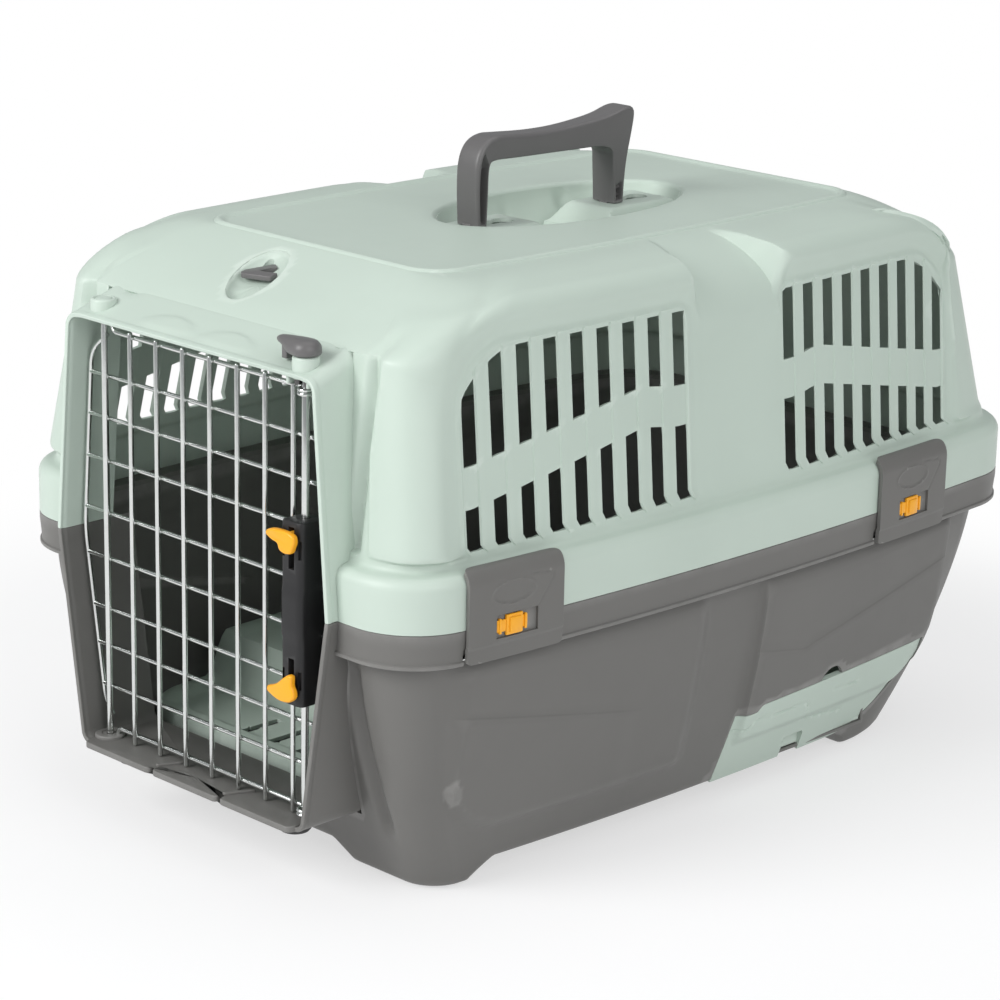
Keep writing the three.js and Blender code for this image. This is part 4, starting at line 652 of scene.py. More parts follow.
def coverLevel(row, column):
    kind = row[0]
    level = dict(squeeze=0.0, sideEnds=sideEnds)
    if kind == "skirt":
        inset, z = row[1], row[2]
        level.update(sideInset=inset, frontInset=inset, backInset=inset, z=(z, z, z),
                     doorHalf=hoodHalf(z) - doorLap,
                     frontCorner=max(rim["frontCorner"] - inset, cover["leastCorner"]),
                     backCorner=max(rim["backCorner"] - inset, cover["leastCorner"]))
        return level
    if kind == "roof":
        inset, z = row[1], row[2]
        level.update(
            sideInset=rim["halfWidth"] - roof["halfWidth"] + inset, frontInset=roof["frontY"] - rim["frontY"] + inset,
            backInset=rim["backY"] - roof["backY"] + inset, z=(z, z, z), frontCorner=roof["corner"] - inset,
            backCorner=roof["corner"] - inset, squeeze=1.0, doorHalf=999)
        return level
    y = coverY(column)
    alongSide = 0 if column[0] in ("door", "front", "back") else 1
    raised = alongSide * raisedShare(y)
    sideTop = mix(cover["wallTopZ"], fieldTopZ(y), raised)
    tops = (sideTop, cover["frontTopZ"], cover["wallTopZ"])
    if kind == "wall":
        wave = waveZ(y)
        marks = dict(foot=(cover["footZ"], slots["bottomZ"] + 1), low=(slots["bottomZ"] + 1, wave),
                     middle=(wave, wave + slots["band"]), high=(wave + slots["band"], slotTopZ(y)), top=None)
        heights = []
        for top in tops:
            slotTop = min(slotTopZ(y), top - slots["leastStep"])
            marks.update(high=(min(wave + slots["band"], slotTop - slots["leastStep"]), slotTop), top=(slotTop, top))
            low, high = marks[row[1]]
            heights.append(mix(low, high, row[2]))
        shares = [(z - cover["footZ"]) / (top - cover["footZ"]) for z, top in zip(heights, tops)]
        lean = (heights[0] - cover["footZ"]) / (cover["wallTopZ"] - cover["footZ"])
        level.update(
            sideInset=mix(cover["footInset"], cover["wallTopInset"], lean),
            frontInset=mix(cover["footInset"], cover["frontTopInset"], shares[1]),
            backInset=mix(cover["footInset"], cover["wallTopInset"], shares[2]), z=tuple(heights),
            frontCorner=mix(rim["frontCorner"] - cover["footInset"], cover["frontTopCorner"], shares[0]),
            backCorner=mix(rim["backCorner"] - cover["footInset"], cover["backTopCorner"], shares[0]),
            doorHalf=hoodHalf(heights[1]) - doorLap)
        return level
    t = row[1]
    a = t * math.pi / 2

    def shoulder(fullness):
        return 1 - math.cos(a) ** (2 / fullness), math.sin(a) ** (2 / fullness)

    sideRun, sideRise = shoulder(mix(cover["plainFullness"], cover["fieldFullness"], raised))
    frontRun, frontRise = shoulder(cover["frontFullness"])
    backRun, backRise = shoulder(cover["backFullness"])
    lean = (sideTop - cover["footZ"]) / (cover["wallTopZ"] - cover["footZ"])
    level.update(
        sideInset=mix(mix(cover["footInset"], cover["wallTopInset"], lean), rim["halfWidth"] - roof["halfWidth"],
                      sideRun),
        frontInset=mix(cover["frontTopInset"], roof["frontY"] - rim["frontY"], frontRun),
        backInset=mix(cover["wallTopInset"], rim["backY"] - roof["backY"], backRun),
        z=(mix(sideTop, cover["edgeZ"], sideRise), mix(cover["frontTopZ"], cover["edgeZ"], frontRise),
           mix(cover["wallTopZ"], cover["edgeZ"], backRise)),
        frontCorner=mix(cover["frontTopCorner"], roof["corner"], t),
        backCorner=mix(cover["backTopCorner"], roof["corner"], t * t), squeeze=ease(t))
    level["doorHalf"] = hoodHalf(level["z"][1]) - doorLap
    return level


def coverY(column):
    # where a column stands along the side, half way up the wall
    kind, value, side = column
    if kind == "side":
        return value
    if kind == "frontCorner":
        return rim["frontY"] + 16.5 + 29 * (1 - math.cos(value * math.pi / 2))
    if kind == "backCorner":
        return rim["backY"] - 19.5 - 35.5 * (1 - math.sin(value * math.pi / 2))
    return rim["frontY"] if kind in ("door", "front") else rim["backY"]


def coverPoint(column, row):
    level = coverLevel(row, column)
    point, out = planPoint(column, level)
    kind = row[0]
    if kind in ("wall", "shoulder"):
        y = coverY(column)
        alongSide = 0 if column[0] in ("door", "front", "back") else 1
        fade = 1 - ease((row[1] - 0.46) / 0.15) if kind == "shoulder" else 1
        foot = ease((point.z - cover["footZ"]) / 2.5)
        stand = field["raise_"] * raisedShare(y) * fade * foot * alongSide
        if alongSide:
            stand += windowStand(y, point.z) * foot * min(1, raisedShare(y) * 1.2)
            if kind == "wall" and windowDistance(y, point.z) < -1:
                stand += louvreStand(y) * foot
        if column[0] in ("front", "frontCorner", "door"):
            centre = groove["x"] + (point.z - cover["footZ"]) * groove["lean"]
            away = abs(abs(point.x) - centre) / groove["width"]
            stand -= groove["depth"] * (1 - ease(away)) * foot * (1 - ease((point.z - 318) / 10))
        point = point + out * stand
        lean = mix(slots["leanFront"], slots["leanBack"], clamp((y - slots["frontOuter"]) / 405))
        stays = 1 - ease(row[1]) if kind == "shoulder" else 1
        if column[0] in ("frontCorner", "backCorner"):
            turn = column[1] if column[0] == "backCorner" else 1 - column[1]
            stays *= (1 - turn) ** 2
        if alongSide:
            point.y += lean * (point.z - 265) * stays * ease((point.z - cover["footZ"]) / 6)
    return spot(*point)


def makeCover():
    columns = coverColumns()
    rows = coverRows()
    count = len(columns)
    slotColumns = set()
    for i, column in enumerate(columns):
        after = columns[(i + 1) % count]
        if column[0] == "side" and after[0] == "side" and isSlot((column[1] + after[1]) / 2):
            slotColumns.add(i)
    openBands = {i for i, row in enumerate(rows) if row[0] == "wall" and row[1] in ("low", "high")}
    doorColumns = {i for i in range(count)
                   if columns[i][0] == "door" and columns[(i + 1) % count][0] in ("door", "front")
                   or columns[i][0] == "front" and columns[i][2] < 0 and columns[(i + 1) % count][0] == "door"
                   or columns[i][0] == "door" and columns[i][2] < 0}
    doorTop = max(i for i, row in enumerate(rows) if row[0] == "wall")

    def hole(c, r):
        c = c % count
        return (c in slotColumns and r in openBands) or (c in doorColumns and r < doorTop)

    cache = {}

    def place(c, r):
        key = (c % count, r)
        if key not in cache:
            cache[key] = coverPoint(columns[key[0]], rows[r])
        return cache[key]

    bm = bmesh.new()
    shapedGrid(bm, count, len(rows) - 1, place, hole)
    outline = [place(c, len(rows) - 1) for c in range(count)]
    ovalRings = 12
    top = outline[0].z

    def ring(c, r):
        p = outline[c % count]
        t = r / ovalRings
        angle = math.atan2((p.y / mm - rowShift - bowl["centreY"]) / bowl["halfLength"], p.x / mm / bowl["halfWidth"])
        grow = bowl["lip"] / bowl["halfWidth"] + 1
        oval = spot(bowl["halfWidth"] * grow * math.cos(angle),
                    bowl["centreY"] + (bowl["halfLength"] + bowl["lip"]) * math.sin(angle), top / mm)
        return p.lerp(oval, t)

    shapedGrid(bm, count, ovalRings, ring)
    lipRings = 4

    def lip(c, r):
        p = ring(c, ovalRings)
        a = r / lipRings * math.pi / 2.6
        middle = spot(0, bowl["centreY"], 0)
        flat = Vector((p.x - middle.x, p.y - middle.y, 0))
        inward = bowl["lip"] * mm * math.sin(a)
        return p - flat.normalized() * inward - Vector((0, 0, bowl["lip"] * mm * (1 - math.cos(a))))

    shapedGrid(bm, count, lipRings, lip)
    tidyMesh(bm, outward=False)
    bmesh.ops.recalc_face_normals(bm, faces=bm.faces)
    faceAlong(bm, z=1)
    piece = addPiece("cover_shell", bm, "shells", sagePlastic, ["upper_shell"])
    thicken(piece, cover["wall"])
    return piece


bowl = dict(topZ=345.4, centreY=17.0, halfLength=95.0, halfWidth=47.0, depth=30.0, lip=4.0, padFront=15.0, padSide=6.0,
            keyTravel=26.0, padZ=340.6)
handle = dict(frontY=-59.3, backY=59.0, width=19.0)

coverShell = makeCover()
print("cover shell:", len(coverShell.data.polygons), "faces")

# ---- tub: one thin wall drawn in towards four corner feet, turned out and down into the hanging rim

tub = dict(wall=2.4, wallInset=10.0, footInset=40.0, leanPower=1.5, straightZ=150.0, footHeight=12.0,
           bottomRound=5.0, frontExtra=15.0, frontFootY=-186.0, backFootY=143.0, footSlope=14.0, footHalf=72.7,
           flangeZ=166.8)
panel = dict(stand=4.2, frontY=-229.0, innerY=-28.0, backInnerY=14.0, backY=207.0, bottomZ=34.0, lowerRound=44.0,
             frontRamp=6.0, innerRamp=14.0, backRamp=5.0, lowerRamp=8.0, crease=0.55)
# a faint moulded crease across the side panels: y, height and how strongly it shows
creaseLine = ((-300, 115, 0), (-226, 115, 1), (-95, 88.5, 1), (-83, 86, 0), (12, 100, 0), (20, 98.6, 1), (63, 90.3, 1),
              (69, 92.5, 1), (195, 119, 1), (206, 121, 0), (300, 121, 0))
flute = dict(x=118.0, depth=5.0, width=7.5, lowZ=30.0, highZ=146.0)


def tubLean(z):
    share = clamp((tub["straightZ"] - z) / tub["straightZ"])
    return mix(tub["wallInset"], tub["footInset"], share ** tub["leanPower"])


rearCorner = dict(radii=(92, 75, 56, 43), bendZ=48, fadeZ=143, fadeRun=7)


def frontLean(z):
    # how much further than the sides the front wall draws in
    share = clamp((tub["straightZ"] - z) / tub["straightZ"])
    return tub["frontExtra"] * share ** tub["leanPower"]


def rearRadius(z):
    foot, middle, top, rimSide = rearCorner["radii"]
    bendZ, fadeZ = rearCorner["bendZ"], rearCorner["fadeZ"]
    if z < bendZ:
        return mix(foot, middle, z / bendZ)
    return mix(mix(middle, top, (z - bendZ) / (fadeZ - bendZ)), rimSide, ease((z - fadeZ) / rearCorner["fadeRun"]))


def roundRear(point, out, level):
    # the tub's rear corners draw in more than its walls do
    z = level["z"][0]
    radius = rearRadius(z)
    centreY = rim["backY"] - level["backInset"] - radius
    centreX = sideHalf(centreY) - level["sideInset"] - radius
    away = Vector((abs(point.x) - centreX, point.y - centreY, 0))
    if away.x > 0 and away.y > 0 and away.length > radius:
        away = away.normalized()
        side = 1 if point.x > 0 else -1
        out = Vector((away.x * side, away.y, 0))
        point = Vector(((centreX + away.x * radius) * side, centreY + away.y * radius, point.z))
    return point, out


def tubPlan(column, inset, z):
    level = flatLevel(inset, z)
    level["frontInset"] += frontLean(z)
    level["frontCorner"] = max(level["frontCorner"], mix(30, 22, clamp((tub["straightZ"] - z) / 60)))
    return roundRear(*planPoint(column, level), level)


def flatLevel(inset, z):
    return dict(sideInset=inset, frontInset=inset, backInset=inset, z=(z, z, z), squeeze=0.0,
                frontCorner=max(rim["frontCorner"] - inset, rim["flangeRound"]),
                backCorner=max(rim["backCorner"] - inset, rim["flangeRound"]),
                sideEnds=sideEnds, doorHalf=hoodHalf(z) - doorLap)


def underZ(x, y):
    # height of the underside: on the ground at the corner feet, clear of it between them
    along = min(y - tub["frontFootY"], tub["backFootY"] - y)
    across = tub["footHalf"] - abs(x)
    return tub["footHeight"] * clamp(max(along, across) / tub["footSlope"])


def creaseAt(y):
    for (y0, z0, s0), (y1, z1, s1) in zip(creaseLine, creaseLine[1:]):
        if y <= y1:
            t = (y - y0) / (y1 - y0)
            return mix(z0, z1, t), mix(s0, s1, t)
    return creaseLine[-1][1:]


def rampUp(distance, ramp):
    return 1 - ease((distance + ramp) / ramp)


def tubStand(y, z):
    if y < (panel["innerY"] + panel["backInnerY"]) / 2:
        outer, inner = panel["frontY"] - y, y - panel["innerY"]
        outerRamp, innerRamp = panel["frontRamp"], panel["innerRamp"]
    else:
        outer, inner = y - panel["backY"], panel["backInnerY"] - y
        outerRamp, innerRamp = panel["frontRamp"], panel["backRamp"]
    low = panel["bottomZ"] - z
    lower = cornerDistance(outer, low, panel["lowerRound"])
    stand = rampUp(lower, panel["lowerRamp"] if low > outer else outerRamp) * rampUp(inner, innerRamp)
    creaseZ, strength = creaseAt(y)
    stand = stand * (panel["stand"] + panel["crease"] * strength * (1 - ease((z - creaseZ) / 1.1)))
    return stand * ease((tub["straightZ"] - z) / 9)


def tubSideX(y, z):
    radius = rearRadius(z)
    past = max(0.0, y - (rim["backY"] - tubLean(z) - radius))
    drop = radius - math.sqrt(radius * radius - past * past)
    return sideHalf(y) - tubLean(z) + tubStand(y, z) - drop


def tubColumns():
    right = [("door", v, 1) for v in spread(0, 1, 24)]
    right += [("front", v, 1) for v in spread(0, 1, 16)]
    right += [("frontCorner", v, 1) for v in spread(0, 1, 14)]
    stations = spread(-221.5, -45, 48) + spread(-45, -27, 9) + spread(-27, 6, 6)
    stations += spread(6, 18, 8) + spread(18, 212, 50)
    right += [("side", y, 1) for y in stations]
    right += [("backCorner", v, 1) for v in spread(0, 1, 16)]
    right += [("back", v, 1) for v in spread(1, 0, 26)]
    right.append(("back", 0, 1))
    return right + [(kind, value, -1) for kind, value, side in right[1:-1]][::-1]


def columnY(column):
    kind, value, side = column
    if kind == "side":
        return value
    if kind == "frontCorner":
        return rim["frontY"] + 18 + 30 * (1 - math.cos(value * math.pi / 2))
    if kind == "backCorner":
        return rim["backY"] - 20 - 40 * (1 - math.sin(value * math.pi / 2))
    return rim["frontY"] if kind in ("door", "front") else rim["backY"]


def backPanel(x, z):
    # a broad raised panel on the rear wall, like the ones on the sides
    across = abs(x) - 70
    low = panel["bottomZ"] - z
    return 2.4 * rampUp(cornerDistance(across, low, 26), 7) * ease((tub["straightZ"] - z) / 9)


def makeTub():
    columns = tubColumns()
    count = len(columns)
    rows = [("round", k / 4) for k in range(4)]
    for band, steps in (("low", 12), ("middle", 16), ("crease", 2), ("high", 9)):
        rows += [(band, k / steps) for k in range(steps)]
    rows += [("flat", tub["wallInset"], z) for z in (150, 156, 162, 168)]
    doorSide = doorwayColumns(columns)
    doorFrom = rows.index(("middle", 0.0))
    bases = []
    for column in columns:
        point, out = tubPlan(column, tub["footInset"] + tub["bottomRound"], 0)
        bases.append(underZ(point.x, point.y))
    cache = {}

    def place(c, r):
        c = c % count
        if (c, r) not in cache:
            cache[c, r] = tubPoint(columns[c], rows[r], bases[c])
        return cache[c, r]

    bm = bmesh.new()
    shapedGrid(bm, count, len(rows) - 1, place, lambda c, r: c % count in doorSide and r >= doorFrom)
    rings = 24

    def ring(c, r):
        p = place(c, 0)
        if r == 0:
            return p
        x, y = p.x / mm * (1 - r / rings), mix(p.y / mm - rowShift, (p.y / mm - rowShift) * 0.6, r / rings)
        return spot(x, y, underZ(x, y))

    shapedGrid(bm, count, rings, ring)
    tidyMesh(bm)
    faceAlong(bm, z=-1)
    piece = addPiece("tub_shell", bm, "shells", greyPlastic, ["lower_shell"])
    thicken(piece, tub["wall"], 0)
    return piece


def doorwayColumns(columns):
    count = len(columns)
    return {i for i in range(count) if "door" in (columns[i][0], columns[(i + 1) % count][0])}


def makeRim():
    # the flange and the skirt that hangs from it, as one closed band that stops at the doorway
    columns = tubColumns()
    count = len(columns)
    doorSide = doorwayColumns(columns)
    low, high = rim["skirtBottomZ"], rim["partingZ"] - rim["gap"] / 2
    section = ((3, low), (0.5, low), (0, low + 0.5), (0, low + 2.1), (0.9, low + 2.9), (0.9, low + 6), (0, high - 5),
               (0, high - 0.4), (0.4, high), (13, high),
               (13, tub["flangeZ"]), (3, tub["flangeZ"]), (3, low))
    bm = bmesh.new()
    cache = {}

    def place(c, r):
        key = (c % count, r % (len(section) - 1))
        if key not in cache:
            point, out = planPoint(columns[key[0]], flatLevel(*section[key[1]]))
            cache[key] = spot(*point)
        return cache[key]

    shapedGrid(bm, count, len(section) - 1, place, lambda c, r: c % count in doorSide)
    tidyMesh(bm, outward=False)
    bmesh.ops.holes_fill(bm, edges=[e for e in bm.edges if e.is_boundary], sides=0)
    bmesh.ops.recalc_face_normals(bm, faces=bm.faces)
    return addPiece("tub_rim", bm, "shells", greyPlastic)


def tubPoint(column, row, base):
    y, kind = columnY(column), row[0]
    if kind == "flat":
        point, out = tubPlan(column, row[1], row[2])
        return spot(*point)
    lowZ = base + tub["bottomRound"]
    if kind == "round":
        a = row[1] * math.pi / 2
        z = base + tub["bottomRound"] * (1 - math.cos(a))
        point, out = tubPlan(column, tubLean(z) + tub["bottomRound"] * (1 - math.sin(a)), z)
        return spot(*point)
    creaseZ = creaseAt(y)[0]
    low, high = dict(low=(lowZ, hood["sillZ"]), middle=(hood["sillZ"], creaseZ), crease=(creaseZ, creaseZ + 1.2),
                     high=(creaseZ + 1.2, tub["straightZ"]))[kind]
    z = mix(low, high, row[1])
    point, out = tubPlan(column, tubLean(z), z)
    stand = 0.0
    if column[0] in ("side", "frontCorner", "backCorner"):
        stand = tubStand(y, z)
    elif column[0] == "back":
        stand = backPanel(point.x, z)
    stand *= ease((z - base - 4) / 6)
    if column[0] in ("door", "front", "frontCorner"):
        away = abs(abs(point.x) - flute["x"]) / flute["width"]
        run = ease((z - flute["lowZ"]) / 16) * ease((flute["highZ"] - z) / 8)
        stand -= flute["depth"] * (1 - ease(away)) * run
    return spot(*(point + out * stand))


# ---- drawer in the tub's right side: outline, then its face and box

drawer = dict(frontY=5.0, leftLean=8.0, backY=194.4, lowZ=12.7, riseY=120.0, rise=0.0079, frontTopZ=56.2, stepY=20.0,
              stepTopZ=60.4, backTopZ=65.0, face=3.6, backX=12.6, boxFrontY=28.0, boxBackY=150.0, boxLowZ=17.0,
              boxHighZ=47.0, boxWall=2.4, notchY=70.0, notchWide=19.0, notchHigh=13.5, gripY=98.0, gripRadius=11.0,
              gap=0.5, lineDepth=0.9)
# moulded step lines on the drawer's face: from y and height to y and height
drawerLines = (((9.5, 46.3), (22.5, 46.6)), ((22.5, 46.6), (28.5, 50.4)), ((28.5, 50.4), (79, 49.8)),
               ((79, 49.8), (83, 36)), ((83, 36), (125, 31)), ((104, 52), (129, 51.5)))


def drawerLow(y):
    return drawer["lowZ"] + drawer["rise"] * max(0, y - drawer["riseY"]) ** 2


def drawerHigh(y):
    step = ease((y - drawer["stepY"]) / 6)
    back = mix(drawer["stepTopZ"], drawer["backTopZ"], clamp((y - 26) / (drawer["backY"] - 26)))
    return mix(drawer["frontTopZ"], back, step)


def drawerPoint(s, r):
    y = mix(drawer["frontY"], drawer["backY"], s)
    z = mix(drawerLow(y), drawerHigh(y), r)
    lean = drawer["leftLean"] * clamp((z - drawer["lowZ"]) / (drawer["frontTopZ"] - drawer["lowZ"]))
    return y + (1 - s) * lean, z


def segmentDistance(y, z, start, end):
    dy, dz = end[0] - start[0], end[1] - start[1]
    t = clamp(((y - start[0]) * dy + (z - start[1]) * dz) / (dy * dy + dz * dz))
    return math.hypot(y - start[0] - t * dy, z - start[1] - t * dz)


def drawerEdge(steps):
    outline = [drawerPoint(k / steps, 0) for k in range(steps)] + [drawerPoint(1, k / 6) for k in range(6)]
    outline += [drawerPoint(1 - k / steps, 1) for k in range(steps)] + [drawerPoint(0, 1 - k / 8) for k in range(8)]
    return outline


def makeDrawer():
    columns, rows = 150, 44
    bm = bmesh.new()

    def place(c, r):
        y, z = drawerPoint(c / columns, r / rows)
        x = tubSideX(y, z) - 0.15
        for start, end in drawerLines:
            away = segmentDistance(y, z, start, end)
            x -= drawer["lineDepth"] * (1 - ease(away / 0.9))
        return spot(x, y, z)

    def hole(c, r):
        y, z = drawerPoint((c + 0.5) / columns, (r + 0.5) / rows)
        along = drawer["notchY"] < y < drawer["notchY"] + drawer["notchWide"]
        return along and z < drawer["lowZ"] + drawer["notchHigh"]

    shapedGrid(bm, columns, rows, place, hole)
    tidyMesh(bm)
    faceAlong(bm, x=1)
    face = addPiece("drawer_face", bm, "drawer", sagePlastic, ["side_drawer"])
    thicken(face, drawer["face"], 0.5)

    bm = bmesh.new()
    low = (drawer["backX"], drawer["boxFrontY"], drawer["boxLowZ"])
    high = (146.0, drawer["boxBackY"], drawer["boxHighZ"])
    openBox(bm, low, high, drawer["boxWall"], ("top",))
    box = addPiece("drawer_box", bm, "drawer", sagePlastic)
    soften(box, 0.6)

    bm = bmesh.new()
    low = (drawer["backX"] - 3.0, drawer["boxFrontY"] - 3.0, drawer["boxLowZ"] - 2.7)
    high = (147.0, drawer["boxBackY"] + 3.0, drawer["boxHighZ"] + 3.0)
    openBox(bm, low, high, 2.3, ("right",))
    bay = addPiece("drawer_bay", bm, "shells", greyPlastic)
    soften(bay, 0.4)


def openBox(bm, low, high, wall, openings):
    # a box with the named sides left open and a wall inwards
    cubeAt(bm, low, high)
    bmesh.ops.recalc_face_normals(bm, faces=bm.faces)
    ways = dict(top=Vector((0, 0, 1)), right=Vector((1, 0, 0)), bottom=Vector((0, 0, -1)))
    lost = [f for f in bm.faces if any(f.normal.dot(ways[name]) > 0.9 for name in openings)]
    bmesh.ops.delete(bm, geom=lost, context="FACES")
    bmesh.ops.solidify(bm, geom=bm.faces[:], thickness=wall * mm)


clipAt = dict(frontY=-197.5, backY=144.0, width=68.0, notchTopZ=159.0)


def clipPlaces():
    # name, side and the turn of the rim at each clip
    places = []
    for word, y in (("front", clipAt["frontY"]), ("rear", clipAt["backY"])):
        slope = -2 * rim["waist"] * y / rim["backY"] ** 2
        for side, sideWord in ((1, "right"), (-1, "left")):
            places.append((f"{word}_{sideWord}", side, y, -math.atan(slope)))
    return places


def atClip(place, x, y, z):
    # x out from the rim and y along it, from the clip's middle
    name, side, centreY, angle = place
    turnedX = x * math.cos(angle) - y * math.sin(angle)
    turnedY = x * math.sin(angle) + y * math.cos(angle)
    return side * (sideHalf(centreY) + turnedX), centreY + turnedY, z


def cutDrawerHole(piece):
    settle(piece)
    # whatever the wall's inner side puts under the ground at the feet turns back up
    for v in piece.data.vertices:
        v.co.z = abs(v.co.z)
    cutter = bmesh.new()
    outline = growOutline(drawerEdge(60), drawer["gap"])
    prism(cutter, outline, lambda a, b, depth: (depth, a, b), 100, 200)
    bmesh.ops.recalc_face_normals(cutter, faces=cutter.faces)
    cutBy(piece, cutter, True)
    grip = [(drawer["gripY"] + drawer["gripRadius"] * math.cos(k * math.pi / 12),
             59 + drawer["gripRadius"] * math.sin(k * math.pi / 12)) for k in range(24)]
    cutter = bmesh.new()
    prism(cutter, grip, lambda a, b, depth: (depth, a, b), 100, 200)
    bmesh.ops.recalc_face_normals(cutter, faces=cutter.faces)
    cutBy(piece, cutter, True)


def cutClipNotches(piece):
    cutter = bmesh.new()
    half = clipAt["width"] / 2 + 0.6
    for place in clipPlaces():
        cubeAt(cutter, (-4.2, -half, 146), (3.0, half, clipAt["notchTopZ"]), lambda *p: spot(*atClip(place, *p)))
    bmesh.ops.recalc_face_normals(cutter, faces=cutter.faces)
    cutBy(piece, cutter)


tubShell = makeTub()
cutDrawerHole(tubShell)
soften(tubShell, 0.45, angle=48)
tubRim = makeRim()
cutClipNotches(tubRim)
soften(tubRim, 0.3, angle=60)
makeDrawer()
print("tub and drawer:", len(tubShell.data.polygons), "faces")


# ---- hood round the doorway: a thin collar on cover and tub, the lid above and the sill below

hoodDetail = dict(leafRise=1.1, leafHalf=(22.0, 7.5), leafAt=((-27.0, -268.0), (24.0, -268.0)),
                  dimpleAt=((-84.0, -247.0), (98.0, -252.0)), dimpleHalf=(12.0, 9.0), dimpleDepth=2.2,
                  sillNotch=4.0, bossRadius=7.6, bossTopZ=312.4)


def lidZ(y):
    # the lid climbs from the front edge to the foot of the cover's front shoulder and dips under it
    if y < -250:
        return mix(hood["topZ"], cover["frontTopZ"] + 0.6, (y - hood["frontY"]) / 30)
    return cover["frontTopZ"] + 0.6 + (y + 250) * 0.28


def lidRelief(x, y):
    rise = 0.0
    for cx, cy in hoodDetail["leafAt"]:
        u, v = (x - cx) / hoodDetail["leafHalf"][0], (y - cy) / hoodDetail["leafHalf"][1]
        v += 0.45 * u * u
        d = math.hypot(u, v)
        rise += hoodDetail["leafRise"] * (1 - ease((d - 0.8) / 0.2))
    for cx, cy in hoodDetail["dimpleAt"]:
        d = math.hypot((x - cx) / hoodDetail["dimpleHalf"][0], (y - cy) / hoodDetail["dimpleHalf"][1])
        rise -= hoodDetail["dimpleDepth"] * (1 - ease(d))
    return rise


def collarColumns(cheekSteps, lidSteps):
    # share along the section: cheek, corner, lid, corner, cheek
    right = [("cheek", k / cheekSteps) for k in range(cheekSteps)]
    right += [("corner", k / 7) for k in range(8)]
    lid = [("lid", mix(1, -1, k / lidSteps)) for k in range(1, lidSteps)]
    left = [(kind, t, -1) for kind, t in right[::-1]]
    return [(kind, t, 1) for kind, t in right] + [(kind, t, 0) for kind, t in lid] + left


def collarPoint(column, y, fromZ, toZ, corner):
    kind, t, side = column
    up = 1 if toZ > fromZ else -1
    if kind == "lid":
        return (hoodHalf(toZ) - corner) * t, y, toZ
    if kind == "corner":
        a = t * math.pi / 2
        return side * (hoodHalf(toZ) - corner * (1 - math.cos(a))), y, toZ - up * corner * (1 - math.sin(a))
    z = mix(fromZ, toZ - up * corner, t)
    return side * mix(hoodHalf(fromZ), hoodHalf(toZ), t), y, z


def makeCollar(name, material, fromZ, toZAt, corner, rowsY, relief=None, bead=0.0):
    columns = collarColumns(14, 44)
    bm = bmesh.new()

    def place(c, r):
        y = rowsY[r]
        x, y, z = collarPoint(columns[c], y, fromZ, toZAt(y), corner)
        if relief and columns[c][0] == "lid":
            z += relief(x, y)
        if bead:
            out = bead * (1 - ease((y - rowsY[0] - 2.6) / 1.4))
            if columns[c][0] == "lid":
                z += out * (1 if toZAt(y) > fromZ else -1)
            else:
                x += out * (1 if x > 0 else -1)
        return spot(x, y, z)

    shapedGrid(bm, len(columns) - 1, len(rowsY) - 1, place)
    tidyMesh(bm, outward=False)
    faceAlong(bm, z=1 if toZAt(rowsY[0]) > fromZ else -1)
    piece = addPiece(name, bm, "shells", material)
    thicken(piece, hood["wall"], 0.7)
    return piece


def makeHood():
    rowsY = [hood["frontY"] + k * 0.8 for k in range(7)] + [hood["frontY"] + 5.6 + k * 1.6 for k in range(1, 22)]
    makeCollar("cover_hood", sagePlastic, rim["partingZ"] + 0.2, lidZ, hood["topCorner"], rowsY,
               lidRelief, 0.6)
    rowsY = [hood["frontY"] + k * 0.8 for k in range(7)] + [hood["frontY"] + 5.6 + k * 4.0 for k in range(1, 13)]
    makeCollar("tub_hood", greyPlastic, rim["partingZ"] - 0.2, lambda y: hood["sillZ"],
               hood["sillCorner"], rowsY, None, 0.4)


def sillOutline():
    # three petals with rounded ends, parted by short slits
    half, front, back = 90.0, -284.5, -229.0
    third = 2 * half / hood["petals"]
    notch = hoodDetail["sillNotch"]
    points, reach = [(-half, back), (-half, front + 3)], [0.5, 0.5]
    for i in range(hood["petals"]):
        x0, x1 = -half + i * third, -half + (i + 1) * third
        left = x0 if i == 0 else x0 + 1.6
        right = x1 if i == hood["petals"] - 1 else x1 - 1.6
        if i == 0:
            points[-1] = (left - 2, front + 5)
        points += [(left, front), (right, front)]
        reach += [4.5, 4.5]
        if i < hood["petals"] - 1:
            points += [(x1 - 1.0, front + notch * 1.6), (x1 + 1.0, front + notch * 1.6)]
            reach += [0.6, 0.6]
    points += [(half + 2, front + 5), (half, back)]
    reach += [0.5, 0.5]
    return roundedOutline(points, reach)


def makeSill():
    bm = bmesh.new()
    low, high = hood["sillZ"] - 0.2, hood["sillZ"] + hood["sillThick"]
    prism(bm, sillOutline(), upright, low, high, 0.7)
    third = 180 / hood["petals"]
    for i in range(1, hood["petals"]):
        x = -90 + i * third
        rib = [(x - 1.1, -279), (x + 1.1, -279), (x + 9.1, -263), (x + 6.9, -263)]
        prism(bm, roundedOutline(rib, 0.5, 2), upright, high - 0.6, high + 1.5, 0.35)
    # the pin's socket and the keeper of the lower bolt
    turned(bm, (-88.0, -267.0, high - 0.5),
           ((2.4, 0), (9, 0), (9, 1.8), (8.4, 2.4), (5.2, 2.4), (4.8, 2.0), (2.4, 2.0), (2.4, 0)))
    keeper = [(83.3, -269.4), (85.9, -269.4), (85.9, -266.0), (87.2, -263.2), (91.8, -263.2), (93.1, -266.0),
              (93.1, -269.4), (95.7, -269.4), (95.7, -262), (93.6, -260.6), (85.4, -260.6), (83.3, -262)]
    prism(bm, roundedOutline(keeper, 0.5, 2), upright, high - 0.5, high + 4.6, 0.4)
    tidyMesh(bm)
    addPiece("door_sill", bm, "shells", greyPlastic)


